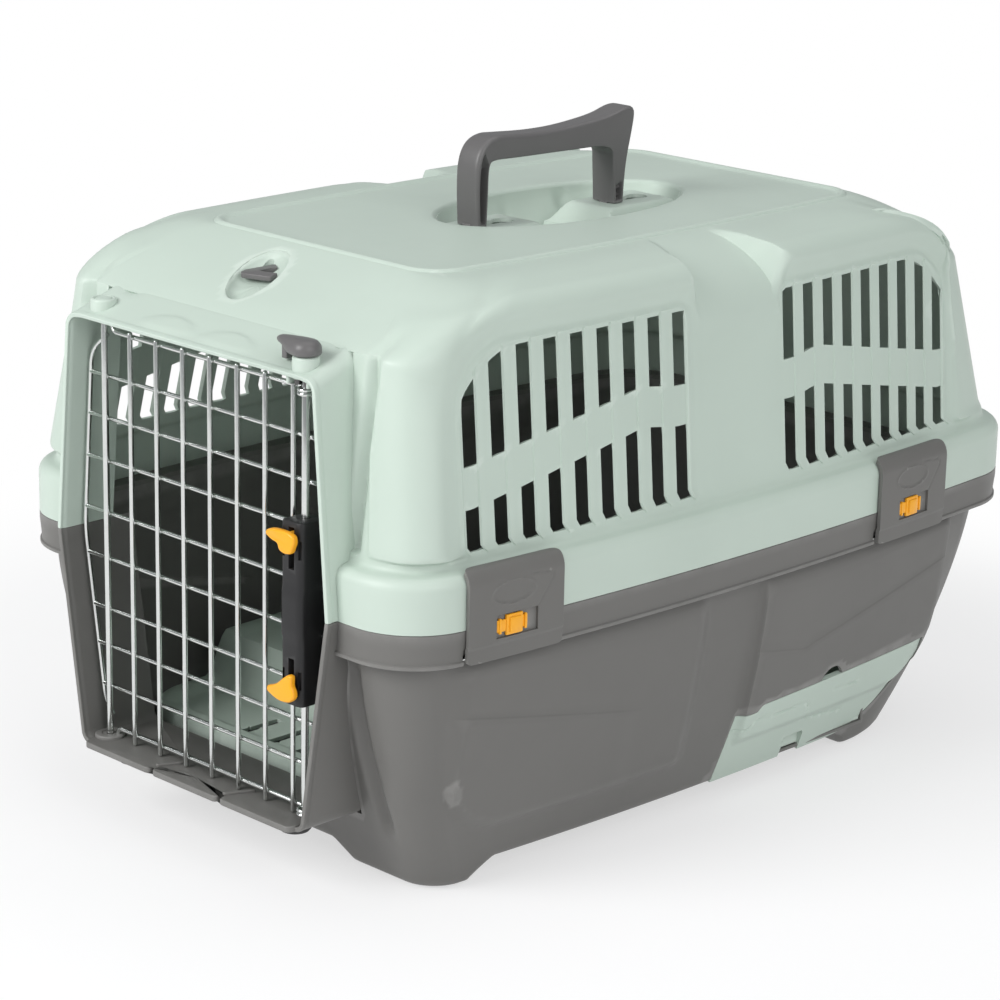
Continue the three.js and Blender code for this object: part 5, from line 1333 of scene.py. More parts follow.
def makeBosses():
    bm = bmesh.new()
    r, top = hoodDetail["bossRadius"], hoodDetail["bossTopZ"]
    left = (-88.0, -267.0, 0)
    turned(bm, left, ((0, 300.5), (r, 300.5), (r, top - 1.4), (r - 0.25, top - 0.6), (r - 0.9, top - 0.1),
                      (r - 1.6, top), (r - 2.0, top - 0.15), (r - 2.3, top - 0.7), (r - 2.8, top - 0.7),
                      (r - 3.1, top - 0.15), (r - 3.6, top), (0, top)), 48)
    turned(bm, (68.6, -266.5, 0), ((0, 303), (2.1, 303), (2.1, 312.4), (1.6, 313), (0, 313)), 24)
    right = (89.5, -270.2, 0)
    turned(bm, right, ((4.8, 300.5), (r, 300.5), (r, top - 1.4), (r - 0.25, top - 0.6), (r - 0.9, top - 0.1),
                       (r - 1.6, top), (4.8, top), (4.8, 300.5)), 48)
    tidyMesh(bm)
    addPiece("hood_bosses", bm, "shells", sagePlastic)
    bm = bmesh.new()
    # the keeper of the upper bolt, hanging under the lid and open to the front
    keeper = [(80.1, -276.8), (82.7, -276.8), (82.7, -270.2), (84.7, -265.4), (89.5, -263.4),
              (94.3, -265.4), (96.3, -270.2), (96.3, -276.8), (98.9, -276.8), (98.9, -264),
              (96.6, -260.8), (82.4, -260.8), (80.1, -264)]
    prism(bm, roundedOutline(keeper, 1.2, 3), upright, 296.4, 304.0, 0.5)
    tidyMesh(bm)
    addPiece("bolt_keeper", bm, "shells", sagePlastic)


makeHood()
makeSill()
makeBosses()

# ---- wire door

door = dict(planeY=-267.0, barY=-264.65, pinX=-88.0, pinRadius=2.0, pinTopZ=306.6, pinBottomZ=40.0, pitch=23.4,
            verticals=8, wireRadius=1.55, barRadius=1.3, topZ=292.8, bottomZ=51.0, tail=4.0, edgeX=111.5,
            edgeTopX=103.0, edgeBottomX=95.0, edgeTopZ=281.0, edgeBottomZ=68.0, edgeRise=9.0, edgeRadius=1.5,
            ringRadius=3.9, ringWire=1.1, boltX=89.5, boltY=-270.2)
barShares = (0, 0.105, 0.208, 0.303, 0.431, 0.546, 0.677, 0.784, 0.888, 1)


def edgeHalf(z):
    if z > rim["partingZ"]:
        return mix(door["edgeX"], door["edgeTopX"], (z - rim["partingZ"]) / (door["edgeTopZ"] - rim["partingZ"]))
    return mix(door["edgeX"], door["edgeBottomX"], (rim["partingZ"] - z) / (rim["partingZ"] - door["edgeBottomZ"]))


def makeDoor():
    bm = bmesh.new()
    y, barY = door["planeY"], door["barY"]
    tube(bm, [(door["pinX"], y, z) for z in (door["pinBottomZ"], 120, 220, door["pinTopZ"])], door["pinRadius"], 18)
    for i in range(1, door["verticals"]):
        x = door["pinX"] + i * door["pitch"]
        ends = (door["bottomZ"] - door["tail"], 170, door["topZ"] + 2.2)
        tube(bm, [(x, y, z) for z in ends], door["wireRadius"], 16)
    for share in barShares[1:-1]:
        z = mix(door["bottomZ"], door["topZ"], share)
        half = edgeHalf(z) + 0.6
        tube(bm, [(-half, barY, z), (0, barY, z), (half, barY, z)], door["barRadius"], 16)
    # the top and bottom wires turn into the hinge beside the pin
    innerX = door["pinX"] + 4.4
    for z, end in ((door["topZ"], 304.5), (door["bottomZ"], 41.5)):
        route = [(innerX, barY + 0.4, end), (innerX, barY, z), (86.4, barY, z)]
        tube(bm, bendPath(route, 6.5, 7), door["barRadius"] + 0.15, 16)
    for side in (-1, 1):
        route = [(side * x, barY, z) for x, z in (
            (88.4, door["edgeTopZ"] + door["edgeRise"]), (door["edgeTopX"], door["edgeTopZ"] - 2),
            (door["edgeX"], rim["partingZ"]), (door["edgeBottomX"], door["edgeBottomZ"]),
            (88.4, door["edgeBottomZ"] - door["edgeRise"]))]
        tube(bm, bendPath(route, 9, 7), door["edgeRadius"], 16)
    for z in (door["topZ"], door["bottomZ"]):
        for lift in (-1.15, 1.15):
            eye = [(door["boltX"] + door["ringRadius"] * math.cos(k * math.pi / 16),
                    door["boltY"] + door["ringRadius"] * math.sin(k * math.pi / 16), z + lift) for k in range(32)]
            tube(bm, eye, door["ringWire"], 12, closed=True)
    # blobs of the spot welds where the wires cross
    for i in range(1, door["verticals"]):
        for share in barShares:
            x, z = door["pinX"] + i * door["pitch"], mix(door["bottomZ"], door["topZ"], share)
            blob = bmesh.ops.create_icosphere(bm, subdivisions=1, radius=1.0)["verts"]
            for v in blob:
                v.co = spot(x + v.co.x * 2.0, (y + barY) / 2 + v.co.y * 1.6, z + v.co.z * 1.7)
    tidyMesh(bm)
    addPiece("door_wires", bm, "door", steel, ["wire_door"], smooth=60)


makeDoor()
print("hood and door ready")


# ---- latch: housing clamped on the door's wires, two sprung bolts with their finger tabs

latch = dict(x=89.5, y=-270.2, half=8.3, frontY=-281.5, backY=-261.6, lowZ=116.0, highZ=222.0, wall=3.4, midWall=4.0,
             channel=8.2, slotWide=4.6, slotLong=24.0, boltRadius=2.3, upperTipZ=299.2, lowerTipZ=46.3,
             upperStopZ=218.0, lowerStopZ=120.0, collarHigh=11.0, springRadius=3.1, springWire=0.55, springTurns=9,
             endRound=1.6, endInset=1.4, fieldBack=0.9, fieldFrom=12.0, cutFrontY=-286.0, slitX=6.3, slitHalf=0.9,
             slitDeepY=-279.2, slitNear=7.0, slitFar=17.5, play=0.35, boltTail=12.0)


def latchBody():
    bm = bmesh.new()
    x, half = latch["x"], latch["half"]
    outline = roundedOutline([(x - half, latch["frontY"]), (x + half, latch["frontY"]), (x + half, latch["backY"]),
                              (x - half, latch["backY"])], [2.2, 4.5, 2.5, 2.0], 6)
    rings = []
    middle = (latch["lowZ"] + latch["highZ"]) / 2
    ends = (0.0, 0.5, latch["endRound"])
    first, last = latch["lowZ"] + 4, latch["highZ"] - 4
    levels = [latch["lowZ"] + d for d in ends] + spread(first, last, 26) + [last]
    levels += [latch["highZ"] - d for d in ends[::-1]]
    for z in levels:
        edge = min(z - latch["lowZ"], latch["highZ"] - z)
        inset = latch["endInset"] * (1 - math.sqrt(1 - (1 - clamp(edge / latch["endRound"])) ** 2))
        # the finger fields above and below stand back a little from the plain middle
        back = latch["fieldBack"] * ease((abs(z - middle) - latch["fieldFrom"]) / 3)
        ring = []
        for a, b in growOutline(outline, -inset):
            ring.append((a, b + back * (1 if b < latch["frontY"] + 6 else 0), z))
        rings.append(ring)
    sweep(bm, rings)
    tidyMesh(bm)
    piece = addPiece("latch_case", bm, "door", blackPlastic, ["latch_housing"])
    cutter = bmesh.new()
    for up in (1, -1):
        far = latch["highZ"] - latch["wall"] if up > 0 else latch["lowZ"] + latch["wall"]
        near = middle + up * latch["midWall"] / 2
        boxCutter(cutter, (x - latch["channel"] / 2, latch["y"] - latch["channel"] / 2, min(near, far)),
                  (x + latch["channel"] / 2, latch["y"] + latch["channel"] / 2, max(near, far)))
    cutBy(piece, cutter)
    cutter = bmesh.new()
    for up in (1, -1):
        far = latch["highZ"] - latch["wall"] if up > 0 else latch["lowZ"] + latch["wall"]
        end = far - up * latch["slotLong"]
        wide = latch["slotWide"] / 2
        boxCutter(cutter, (x - wide, latch["cutFrontY"], min(far, end)), (x + wide, latch["y"], max(far, end)))
        for side in (-1, 1):
            start, stop = far - up * latch["slitNear"], far - up * latch["slitFar"]
            at, slit = x + side * latch["slitX"], latch["slitHalf"]
            boxCutter(cutter, (at - slit, latch["cutFrontY"], min(start, stop)),
                      (at + slit, latch["slitDeepY"], max(start, stop)))
        bore = [(x, latch["y"], far - up * 6), (x, latch["y"], far + up * 12)]
        tube(cutter, bore, latch["boltRadius"] + latch["play"], 24, domed=False)
    boxCutter(cutter, (x - 7.2, latch["cutFrontY"], 165.0), (x - 6.6, -281.0, 184.0))
    for share in barShares[3:7]:
        z = mix(door["bottomZ"], door["topZ"], share)
        tube(cutter, [(x - 14, door["barY"], z), (x + 14, door["barY"], z)], door["barRadius"] + 0.3, 16, domed=False)
    bmesh.ops.recalc_face_normals(cutter, faces=cutter.faces)
    cutBy(piece, cutter)
    soften(piece, 0.22, angle=40)


def boxCutter(bm, low, high):
    cubeAt(bm, low, high)
    bmesh.ops.recalc_face_normals(bm, faces=bm.faces)


def latchBolt(up):
    word = "upper" if up > 0 else "lower"
    x, y = latch["x"], latch["y"]
    stop = latch["upperStopZ"] if up > 0 else latch["lowerStopZ"]
    tip = latch["upperTipZ"] if up > 0 else latch["lowerTipZ"]
    collar = stop - up * latch["collarHigh"]
    r, neck = latch["boltRadius"], latch["boltRadius"] * 0.7
    tail = collar - up * latch["boltTail"]
    profile = [(0, tail), (r - 0.5, tail), (r, tail + up * 0.5), (r, collar), (neck, collar), (neck, stop), (r, stop),
               (r, tip - up * 0.9), (r - 0.25, tip - up * 0.3), (r - 0.8, tip), (0, tip)]
    bm = bmesh.new()
    turned(bm, (x, y, 0), profile, 28)
    tidyMesh(bm)
    addPiece(f"{word}_bolt_rod", bm, f"{word}_bolt_set", steel, [f"{word}_bolt"], smooth=50)
    bm = bmesh.new()
    middle = (latch["lowZ"] + latch["highZ"]) / 2
    start, end = middle + up * (latch["midWall"] / 2 + 0.95), collar - up * 1.25
    turns, steps = latch["springTurns"], 20
    coil = []
    for k in range(turns * steps + 1):
        t = k / (turns * steps)
        s = clamp((t - 0.1) / 0.8)
        a = 2 * math.pi * turns * t
        coil.append((x + latch["springRadius"] * math.cos(a), y + latch["springRadius"] * math.sin(a),
                     mix(start, end, mix(t * 0.22, s * 0.78 + t * 0.22, 1.0))))
    tube(bm, coil, latch["springWire"], 8)
    tidyMesh(bm)
    spring = addPiece(f"{word}_spring", bm, "door", steel, [f"{word}_bolt_spring"], smooth=60)
    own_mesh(spring)
    bm = bmesh.new()
    low, high = min(collar, stop) + 0.35, max(collar, stop) - 0.35
    softBlock(bm, (x - 3.7, y - 3.7, low), (x + 3.7, y + 3.7, high), 0.6)
    softBlock(bm, (x - 1.95, -284.0, low), (x + 1.95, y, low + 8.5), 0.5)
    if up > 0:
        wing = [(97.6, low + 4.0), (97.4, low + 8.2), (93.5, low + 9.9), (86, low + 10.2), (78.5, low + 9.4),
                (73.2, low + 7.2),
                (73.0, low + 4.4), (78.5, low + 2.6), (84.0, low + 2.2), (85.2, low - 1.6), (89.5, low - 3.0),
                (95.0, low - 2.0), (96.4, low + 1.6)]
        roundness = [2, 2, 3, 4, 4, 2, 2, 3, 1.5, 2, 3, 2, 1.5]
    else:
        wing = [(97.8, low + 3.2), (97.2, low + 7.0), (95.4, low + 9.5), (95.6, low + 15.5), (92.6, low + 15.8),
                (87.5, low + 12.2), (83.4, low + 8.4), (78.4, low + 6.2), (74.0, low + 4.8), (73.9, low + 1.6),
                (79.0, low + 0.2), (87.0, low - 1.4), (94.0, low - 0.4)]
        roundness = [2, 2, 2, 1.2, 1.2, 4, 3, 3, 2, 2, 2, 4, 3]
    outline = roundedOutline(wing, roundness, 4)
    prism(bm, outline, lambda a, b, depth: (a, depth + wingLean(a, b, low), b), -282.2, -286.6, 1.5, 4)
    tidyMesh(bm)
    addPiece(f"{word}_tab", bm, f"{word}_bolt_set", amberPlastic, [f"{word}_latch_tab"])


def wingLean(a, b, low):
    # the wing's long end bends back towards the door
    return 1.3 * ease((84 - a) / 12)


latchBody()
for up in (1, -1):
    latchBolt(up)

# ---- lock knob: a beaked head, its stem and the collar that closes round the bolt

knob = dict(x=89.5, y=-270.2, lowZ=312.8, high=8.6, headRadius=8.6, beakReach=24.0, stemRadius=4.2, collarRadius=6.2,
            collarLowZ=296.3, bore=3.6, seatZ=300.2, neckTopZ=303.2, beakStart=0.75, openFrom=-54.0, openTo=234.0)


def makeKnob():
    bm = bmesh.new()
    rings = []
    # the head as a stack of outlines: a round back that draws out into a beak
    for t, size in ((0.0, 0.80), (0.06, 0.93), (0.16, 0.985), (0.35, 1.0), (0.55, 0.97), (0.72, 0.89), (0.86, 0.76),
                    (0.95, 0.6), (0.99, 0.42), (1.0, 0.25)):
        z = knob["lowZ"] + knob["high"] * t
        ring = []
        for k in range(56):
            a = 2 * math.pi * k / 56
            cx, cy = math.cos(a), math.sin(a)
            r = knob["headRadius"] * size
            px, py = r * cx, r * cy
            reach = clamp(-cx) ** 1.6
            drawn = (1 - 0.1 * t if size > 0.5 else size + 0.35) * mix(0.9, 1.0, clamp(t * 2))
            px -= reach * (knob["beakReach"] - knob["headRadius"]) * drawn
            py *= 1 - 0.3 * reach
            lift = 0.0
            start = knob["headRadius"] * knob["beakStart"]
            if px < -start:
                # the beak's underside stands clear of the boss
                share = clamp((-px - start) / (knob["beakReach"] - start))
                lift = (1 - t) * knob["high"] * 0.42 * ease(share * 1.6)
                lift -= t * 0.8 * share
            ring.append((knob["x"] + px, knob["y"] + py, z + lift))
        rings.append(ring)
    sweep(bm, rings)
    stem, stemTop = knob["stemRadius"], knob["lowZ"] + 1
    seat, wide, neckTop = knob["seatZ"], knob["collarRadius"], knob["neckTopZ"]
    turned(bm, (knob["x"], knob["y"], 0), ((0, seat), (stem, seat), (stem, stemTop), (0, stemTop)), 32)
    softBlock(bm, (72.6, -273.0, 308.4), (76.8, -267.4, 317.5), 0.7)
    collar = []
    opening = knob["openFrom"], knob["openTo"]
    for radius, (first, last) in ((wide, opening), (knob["bore"], opening[::-1])):
        for turn in spread(first, last, 24) + [last]:
            a = math.radians(turn)
            collar.append((knob["x"] + radius * math.cos(a), knob["y"] + radius * math.sin(a)))
    prism(bm, collar, upright, knob["collarLowZ"], 300.6)
    turned(bm, (knob["x"], knob["y"], 0), ((0, seat), (wide, seat), (wide, neckTop), (0, neckTop)), 32)
    tidyMesh(bm)
    addPiece("knob_head", bm, "knob", charcoalPlastic, ["lock_knob"], smooth=45)


makeKnob()

# ---- hand recess in the roof: an oval bowl with two pads and their keyhole slots


def padEnds(start):
    # front and back of the pad round a keyhole
    return start - bowl["padFront"], start + bowl["keyTravel"] + 6 + bowl["padSide"]


def bowlZ(x, y):
    rho = math.hypot(x / bowl["halfWidth"], (y - bowl["centreY"]) / bowl["halfLength"])
    deep = bowl["depth"] * (1 - clamp(rho) ** 3.2) ** 0.8
    z = bowl["topZ"] - bowl["lip"] * 0.62 - deep
    wide = handle["width"] / 2 + bowl["padSide"]
    for start in (handle["frontY"], handle["backY"]):
        front, back = padEnds(start)
        away = max(abs(x) - wide, front - y, y - back)
        level = bowl["padZ"] - 13 * ease(away / 13)
        if away < 13:
            z = max(z, level)
    # soft dimples in the far wall
    for cx, cy in ((-40, 12), (-40, 58)):
        d = math.hypot((x - cx) / 9, (y - cy) / 7)
        z -= 4.0 * (1 - ease(d))
    return z


def makeBowl():
    steps = 84
    bm = bmesh.new()

    def place(c, r):
        u, v = 2 * c / steps - 1, 2 * r / steps - 1
        x, y = u * math.sqrt(1 - v * v / 2), v * math.sqrt(1 - u * u / 2)
        length = math.hypot(x, y)
        if length > 1:
            x, y = x / length, y / length
        px, py = x * bowl["halfWidth"], bowl["centreY"] + y * bowl["halfLength"]
        onLip = clamp((math.hypot(x, y) - 0.985) / 0.015)
        z = mix(bowlZ(px, py), bowl["topZ"] - bowl["lip"] * 0.5, onLip)
        return spot(px, py, z)

    shapedGrid(bm, steps, steps, place)
    tidyMesh(bm, outward=False)
    faceAlong(bm, z=1)
    piece = addPiece("hand_recess", bm, "shells", sagePlastic)
    thicken(piece, cover["wall"], 0)
    settle(piece)
    cutter = bmesh.new()
    for start in (handle["frontY"], handle["backY"]):
        half, back = 4.1, start + bowl["keyTravel"]
        outline = [(-half, start - 5.1), (half, start - 5.1), (half, back - 5)]
        turns = [math.radians(mix(-50, 230, k / 16)) for k in range(17)]
        outline += [(6.6 * math.cos(a), back + 6.6 * math.sin(a)) for a in turns]
        outline += [(-half, back - 5)]
        prism(cutter, outline, upright, 300, 352)
    bmesh.ops.recalc_face_normals(cutter, faces=cutter.faces)
    cutBy(piece, cutter)
    soften(piece, 0.3, angle=50)


makeBowl()

# ---- scoop in the front slope with its strap hook

scoop = dict(x=-11.5, y=-217.0, halfWidth=16.0, halfLength=22.0, turn=14.0, depth=6.5, cutTopZ=352.0, wall=2.0,
             holeX=-18.5, holeY=-203.0, holeHalf=(3.2, 3.8), hookY=-228.0, hookRise=0.16, hookHigh=3.0)


def slopeAt(y):
    # height of the cover's front shoulder near mid width
    best = None
    for k in range(1, 60):
        a = k / 60 * math.pi / 2
        run, rise = 1 - math.cos(a) ** (2 / cover["frontFullness"]), math.sin(a) ** (2 / cover["frontFullness"])
        yy = rim["frontY"] + mix(cover["frontTopInset"], roof["frontY"] - rim["frontY"], run)
        if best is None or abs(yy - y) < best[0]:
            best = (abs(yy - y), mix(cover["frontTopZ"], cover["edgeZ"], rise))
    return best[1]


def scoopPoint(u, v):
    t = math.radians(scoop["turn"])
    x, y = u * scoop["halfWidth"], v * scoop["halfLength"]
    return scoop["x"] + x * math.cos(t) - y * math.sin(t), scoop["y"] + x * math.sin(t) + y * math.cos(t)


def makeScoop():
    cutter = bmesh.new()
    outline = [scoopPoint(math.cos(a), math.sin(a)) for a in (2 * math.pi * k / 64 for k in range(64))]
    prism(cutter, outline, upright, 305, scoop["cutTopZ"])
    bmesh.ops.recalc_face_normals(cutter, faces=cutter.faces)
    settle(coverShell)
    cutBy(coverShell, cutter)
    soften(coverShell, 0.35)
    rows, count = 16, 64
    bm = bmesh.new()

    def place(c, r):
        a = 2 * math.pi * (c % count) / count
        s = 1 - r / rows
        x, y = scoopPoint(math.cos(a) * s * 0.99, math.sin(a) * s * 0.99)
        edgeY = scoopPoint(math.cos(a), math.sin(a))[1]
        z = mix(slopeAt(scoop["y"]), slopeAt(edgeY), s) - scoop["depth"] * (1 - s ** 5) ** 0.7 - 0.3
        return spot(x, y, z)

    shapedGrid(bm, count, rows, place)
    tidyMesh(bm, outward=False)
    faceAlong(bm, z=1)
    piece = addPiece("scoop_bowl", bm, "shells", sagePlastic)
    thicken(piece, scoop["wall"], 0)
    settle(piece)
    cutter = bmesh.new()
    across, along = scoop["holeHalf"]
    hole = [(scoop["holeX"] + across * math.cos(a), scoop["holeY"] + along * math.sin(a))
            for a in (2 * math.pi * k / 24 for k in range(24))]
    prism(cutter, hole, upright, 300, scoop["cutTopZ"])
    bmesh.ops.recalc_face_normals(cutter, faces=cutter.faces)
    cutBy(piece, cutter)
    bm = bmesh.new()
    hook = [(-21.3, -220.4), (-1.4, -216.4), (-2.6, -209.8), (-15.4, -212.3), (-10.2, -203.2), (-15.8, -199.6),
            (-24.6, -215.1), (-24.2, -218.8)]
    low = slopeAt(scoop["hookY"]) + 0.4

    def rising(a, b, depth):
        return a, b, depth + (b - scoop["hookY"]) * scoop["hookRise"]

    prism(bm, roundedOutline(hook, 0.8, 3), rising, low, low + scoop["hookHigh"], 0.5)
    tidyMesh(bm)
    addPiece("strap_vee", bm, "shells", charcoalPlastic, ["strap_hook"])


makeScoop()

# ---- handle: a waisted arch on two hollow legs

arch = dict(x=9.3, round=3.4, footZ=341.2, grooveDeep=5.2)


def archSides():
    # the arch's outer and inner lines from the front foot to the rear foot, as y and z
    outer = [(-63.0, arch["footZ"]), (-64.8, 366), (-64.0, 381), (-58.5, 390.5), (-49.0, 394.6), (-38.5, 393.9),
             (-13.8, 392.4), (11.3, 392.5), (36.8, 394.6), (52.2, 396.7), (64.5, 400.5), (72.8, 399.5), (71.3, 388.9),
             (66.9, 371), (64.5, 357), (63.5, arch["footZ"])]
    inner = [(-55.5, arch["footZ"]), (-54.7, 359), (-54.6, 377.5), (-50.4, 380.3), (-31.6, 379.4), (-6.7, 378.8),
             (18.6, 378.5), (43, 378.4), (52.6, 375), (53.0, 366), (53.8, 355), (54.5, arch["footZ"])]
    return outer, inner


def smoothLine(points, count):
    # a soft curve through corner points, as evenly spaced places
    line = [Vector((0, *p)) for p in points]
    for _ in range(4):
        finer = [line[0]]
        for a, b in zip(line, line[1:]):
            finer += [a.lerp(b, 0.25), a.lerp(b, 0.75)]
        finer.append(line[-1])
        line = finer
    lengths = [0.0]
    for a, b in zip(line, line[1:]):
        lengths.append(lengths[-1] + (b - a).length)
    even, i = [], 0
    for k in range(count):
        want = lengths[-1] * k / (count - 1)
        while i < len(line) - 2 and lengths[i + 1] < want:
            i += 1
        t = (want - lengths[i]) / max(lengths[i + 1] - lengths[i], 1e-9)
        even.append(line[i].lerp(line[i + 1], t))
    return even


def makeHandle():
    count = 140
    outerPoints, innerPoints = archSides()
    outer, inner = smoothLine(outerPoints, count), smoothLine(innerPoints, count)
    rings = []
    for i in range(count):
        o, n = outer[i], inner[i]
        across = (n - o).normalized()
        thick = (n - o).length
        share = i / (count - 1)
        waist = 1 - 0.14 * math.sin(math.pi * clamp((share - 0.2) / 0.6)) ** 2
        half = arch["x"] * waist
        height = o.lerp(n, 0.5).z
        front = share < 0.5
        groove = arch["grooveDeep"] * (1 - ease((height - (379 if front else 350)) / 4)) * ease((height - 342.5) / 2)
        if not front and (height - 342) % 4.4 > 2.6 and height < 352:
            groove *= 0.3
        ring = []
        r = min(arch["round"], thick * 0.22)
        # from the middle of the outer side, round its corner, down the flank with its groove, to the inner side
        right = [(0.0, (half - r) * 0.5)]
        for k in range(7):
            a = k / 6 * math.pi / 2
            right.append((r * (1 - math.cos(a)), half - r * (1 - math.sin(a))))
        g0, g1 = r + 0.9, thick - 2.2
        deep, edge = half - groove, half - groove * 0.5 - 0.01
        right += [(g0 - 0.6, half), (g0, edge), (g0 + 0.35, deep), (mix(g0, g1, 0.5), deep), (g1 - 0.35, deep),
                  (g1, edge), (g1 + 0.6, half)]
        for k in range(5):
            a = k / 4 * math.pi / 2
            right.append((thick - 1.0 * (1 - math.sin(a)), half - 1.0 * (1 - math.cos(a))))
        right.append((thick, half * 0.4))
        for depth, x in right:
            p = o + across * depth
            ring.append((x, p.y, p.z))
        for depth, x in right[::-1]:
            p = o + across * depth
            ring.append((-x, p.y, p.z))
        rings.append(ring)
    bm = bmesh.new()
    sweep(bm, rings)
    for y in (handle["frontY"], handle["backY"]):
        softBlock(bm, (-3.5, y - 4.5, 336.0), (3.5, y + 4.5, 342.5), 0.4)
        turned(bm, (0, y, 0), ((0, 335.7), (5.4, 335.7), (5.9, 336.2), (5.9, 337.6), (0, 337.6)), 28)
    tidyMesh(bm)
    addPiece("handle_arch", bm, "handle", charcoalPlastic, ["carry_handle"], smooth=40)


makeHandle()
print("latch, knob, recess and handle ready")


# ---- clips: a curled plate over the flange, its barrel and pin, and the sliding lock in its window

clip = dict(out=3.7, thick=2.6, lowZ=150.4, bendZ=193.5, bendRun=7.4, bendRise=10.2, corner=8.0, lowCorner=2.5,
            windowHalf=15.0, windowLowZ=162.6, windowHighZ=175.4, ovalY=-3.0, ovalZ=187.5, ovalHalf=(17.0, 7.2),
            pinInset=4.4, pinZ=152.9, pinRadius=1.5, pinPlay=0.35, barrelRadius=2.7, barrelHalf=29.0, curl=17.5,
            curlTurn=97.0, gap=0.6, lug=5.0, pinIn=4.65, lineWidth=0.9, lineDeep=0.4, stepZ=158.6, stepDeep=0.7,
            crown=0.5)
# engraved line from the window's upper corner to the upper right and back over the oval, y and height
clipLine = ((15.5, 176.5), (25.5, 189.5), (26.0, 192.0), (23.5, 194.0), (8.0, 195.5))


def clipPath(t):
    # along the plate's outer face: straight up, then curled in over the flange
    straight, curl = clip["bendZ"] - clip["lowZ"], clip["curl"]
    s = t * (straight + curl)
    if s <= straight:
        return clip["out"], clip["lowZ"] + s
    a = (s - straight) / curl * math.radians(clip["curlTurn"])
    return clip["out"] - clip["bendRun"] * (1 - math.cos(a)), clip["bendZ"] + clip["bendRise"] * math.sin(a)


def makeClip(place):
    name = place[0]
    columns, rows = 96, 72
    half = clipAt["width"] / 2
    bm = bmesh.new()
    lengthOf = clip["bendZ"] - clip["lowZ"] + clip["curl"]

    def local(c, r):
        t = r / rows
        x, z = clipPath(t)
        s = t * lengthOf
        top, low = lengthOf - s, s
        wide = half
        for reach, corner in ((top, clip["corner"]), (low, clip["lowCorner"])):
            if reach < corner:
                wide -= corner - math.sqrt(corner ** 2 - (corner - reach) ** 2)
        return x, (2 * c / columns - 1) * wide, z

    def inWindow(c, r):
        x, y, z = local(c + 0.5, r + 0.5)
        return abs(y) < clip["windowHalf"] and clip["windowLowZ"] < z < clip["windowHighZ"]

    def point(c, r):
        x, y, z = local(c, r)
        ring = math.hypot((y - clip["ovalY"]) / clip["ovalHalf"][0], (z - clip["ovalZ"]) / clip["ovalHalf"][1])
        relief = 0.0
        if r / rows < 0.93:
            relief = 0.45 * (1 - ease(abs(ring - 0.93) / 0.09)) - 0.3 * (1 - ease((ring - 0.8) / 0.06))
            for a, b in zip(clipLine, clipLine[1:]):
                relief -= clip["lineDeep"] * (1 - ease(segmentDistance(y, z, a, b) / clip["lineWidth"]))
        # a shallow step below the window and a slight crown across the plate
        relief -= clip["stepDeep"] * (1 - ease((z - clip["stepZ"]) / 1.2))
        relief -= clip["crown"] * (y / half) ** 4
        return spot(*atClip(place, x + relief, y, z))

    shapedGrid(bm, columns, rows, point, inWindow)
    tidyMesh(bm, outward=False)
    faceAlong(bm, x=place[1])
    plate = addPiece(f"clip_plate_{name}", bm, f"{name}_clip", greyPlastic, [f"clip_{name}"])
    thicken(plate, clip["thick"], 0.3)

    bm = bmesh.new()
    # ledge behind the window, with its frame, and the hinge barrel with its web
    inner = clip["out"] - clip["thick"]
    blockAt(bm, place, (inner + 0.1, -16.5, 161.6), (inner + 0.9, 16.5, 176.4), 0.2)
    blockAt(bm, place, (-4.4, -clip["barrelHalf"], 150.5), (2.2, clip["barrelHalf"], 151.9), 0.3)
    barrel(bm, place, -clip["barrelHalf"], clip["barrelHalf"], clip["barrelRadius"],
           clip["pinRadius"] + clip["pinPlay"])
    tidyMesh(bm)
    addPiece(f"clip_barrel_{name}", bm, f"{name}_clip", greyPlastic)

    bm = bmesh.new()
    reach = half + clip["gap"] + clip["pinIn"]
    path = [spot(*atClip(place, -clip["pinInset"], y, clip["pinZ"])) for y in (-reach, -20, 20, reach)]
    tube(bm, [(p.x / mm, p.y / mm - rowShift, p.z / mm) for p in path], clip["pinRadius"], 16)
    tidyMesh(bm)
    addPiece(f"clip_rod_{name}", bm, "shells", steel, [f"clip_pin_{name}"], smooth=50)

    bm = bmesh.new()
    for end in (-1, 1):
        near, far = end * (half + clip["gap"]), end * (half + clip["gap"] + clip["lug"])
        blockAt(bm, place, (-11.2, min(near, far), 150.35), (-1.5, max(near, far), 168.4), 0.4)
    tidyMesh(bm)
    addPiece(f"clip_lugs_{name}", bm, "shells", greyPlastic)

    bm = bmesh.new()
    low = clip["out"] - clip["thick"] + 1.05
    blockAt(bm, place, (low, -14.4, 165.6), (low + 1.3, 7.4, 172.4), 0.3)
    blockAt(bm, place, (low, -8.2, 163.2), (low + 2.0, 3.6, 174.8), 0.5)
    blockAt(bm, place, (low, -6.4, 164.8), (clip["out"] + 1.7, 2.0, 173.2), 0.7)
    for y in (-13.2, 5.0):
        blockAt(bm, place, (low, y, 164.6), (low + 2.1, y + 1.6, 173.4), 0.4)
    tidyMesh(bm)
    addPiece(f"lock_slide_{name}", bm, f"{name}_lock", amberPlastic, [f"clip_lock_{name}"])


def blockAt(bm, place, low, high, radius):
    softBlock(bm, low, high, radius, lambda x, y, z: spot(*atClip(place, x, y, z)))


def barrel(bm, place, start, end, outer, inner):
    rings = []
    for y, r in ((start, inner), (start, outer), (end, outer), (end, inner), (start, inner)):
        ring = []
        for k in range(24):
            a = 2 * math.pi * k / 24
            ring.append(atClip(place, -clip["pinInset"] + r * math.cos(a), y, clip["pinZ"] + r * math.sin(a)))
        rings.append(ring)
    sweep(bm, rings, capped=False)


for place in clipPlaces():
    makeClip(place)

# ---- floor tray in two levels with drain slots

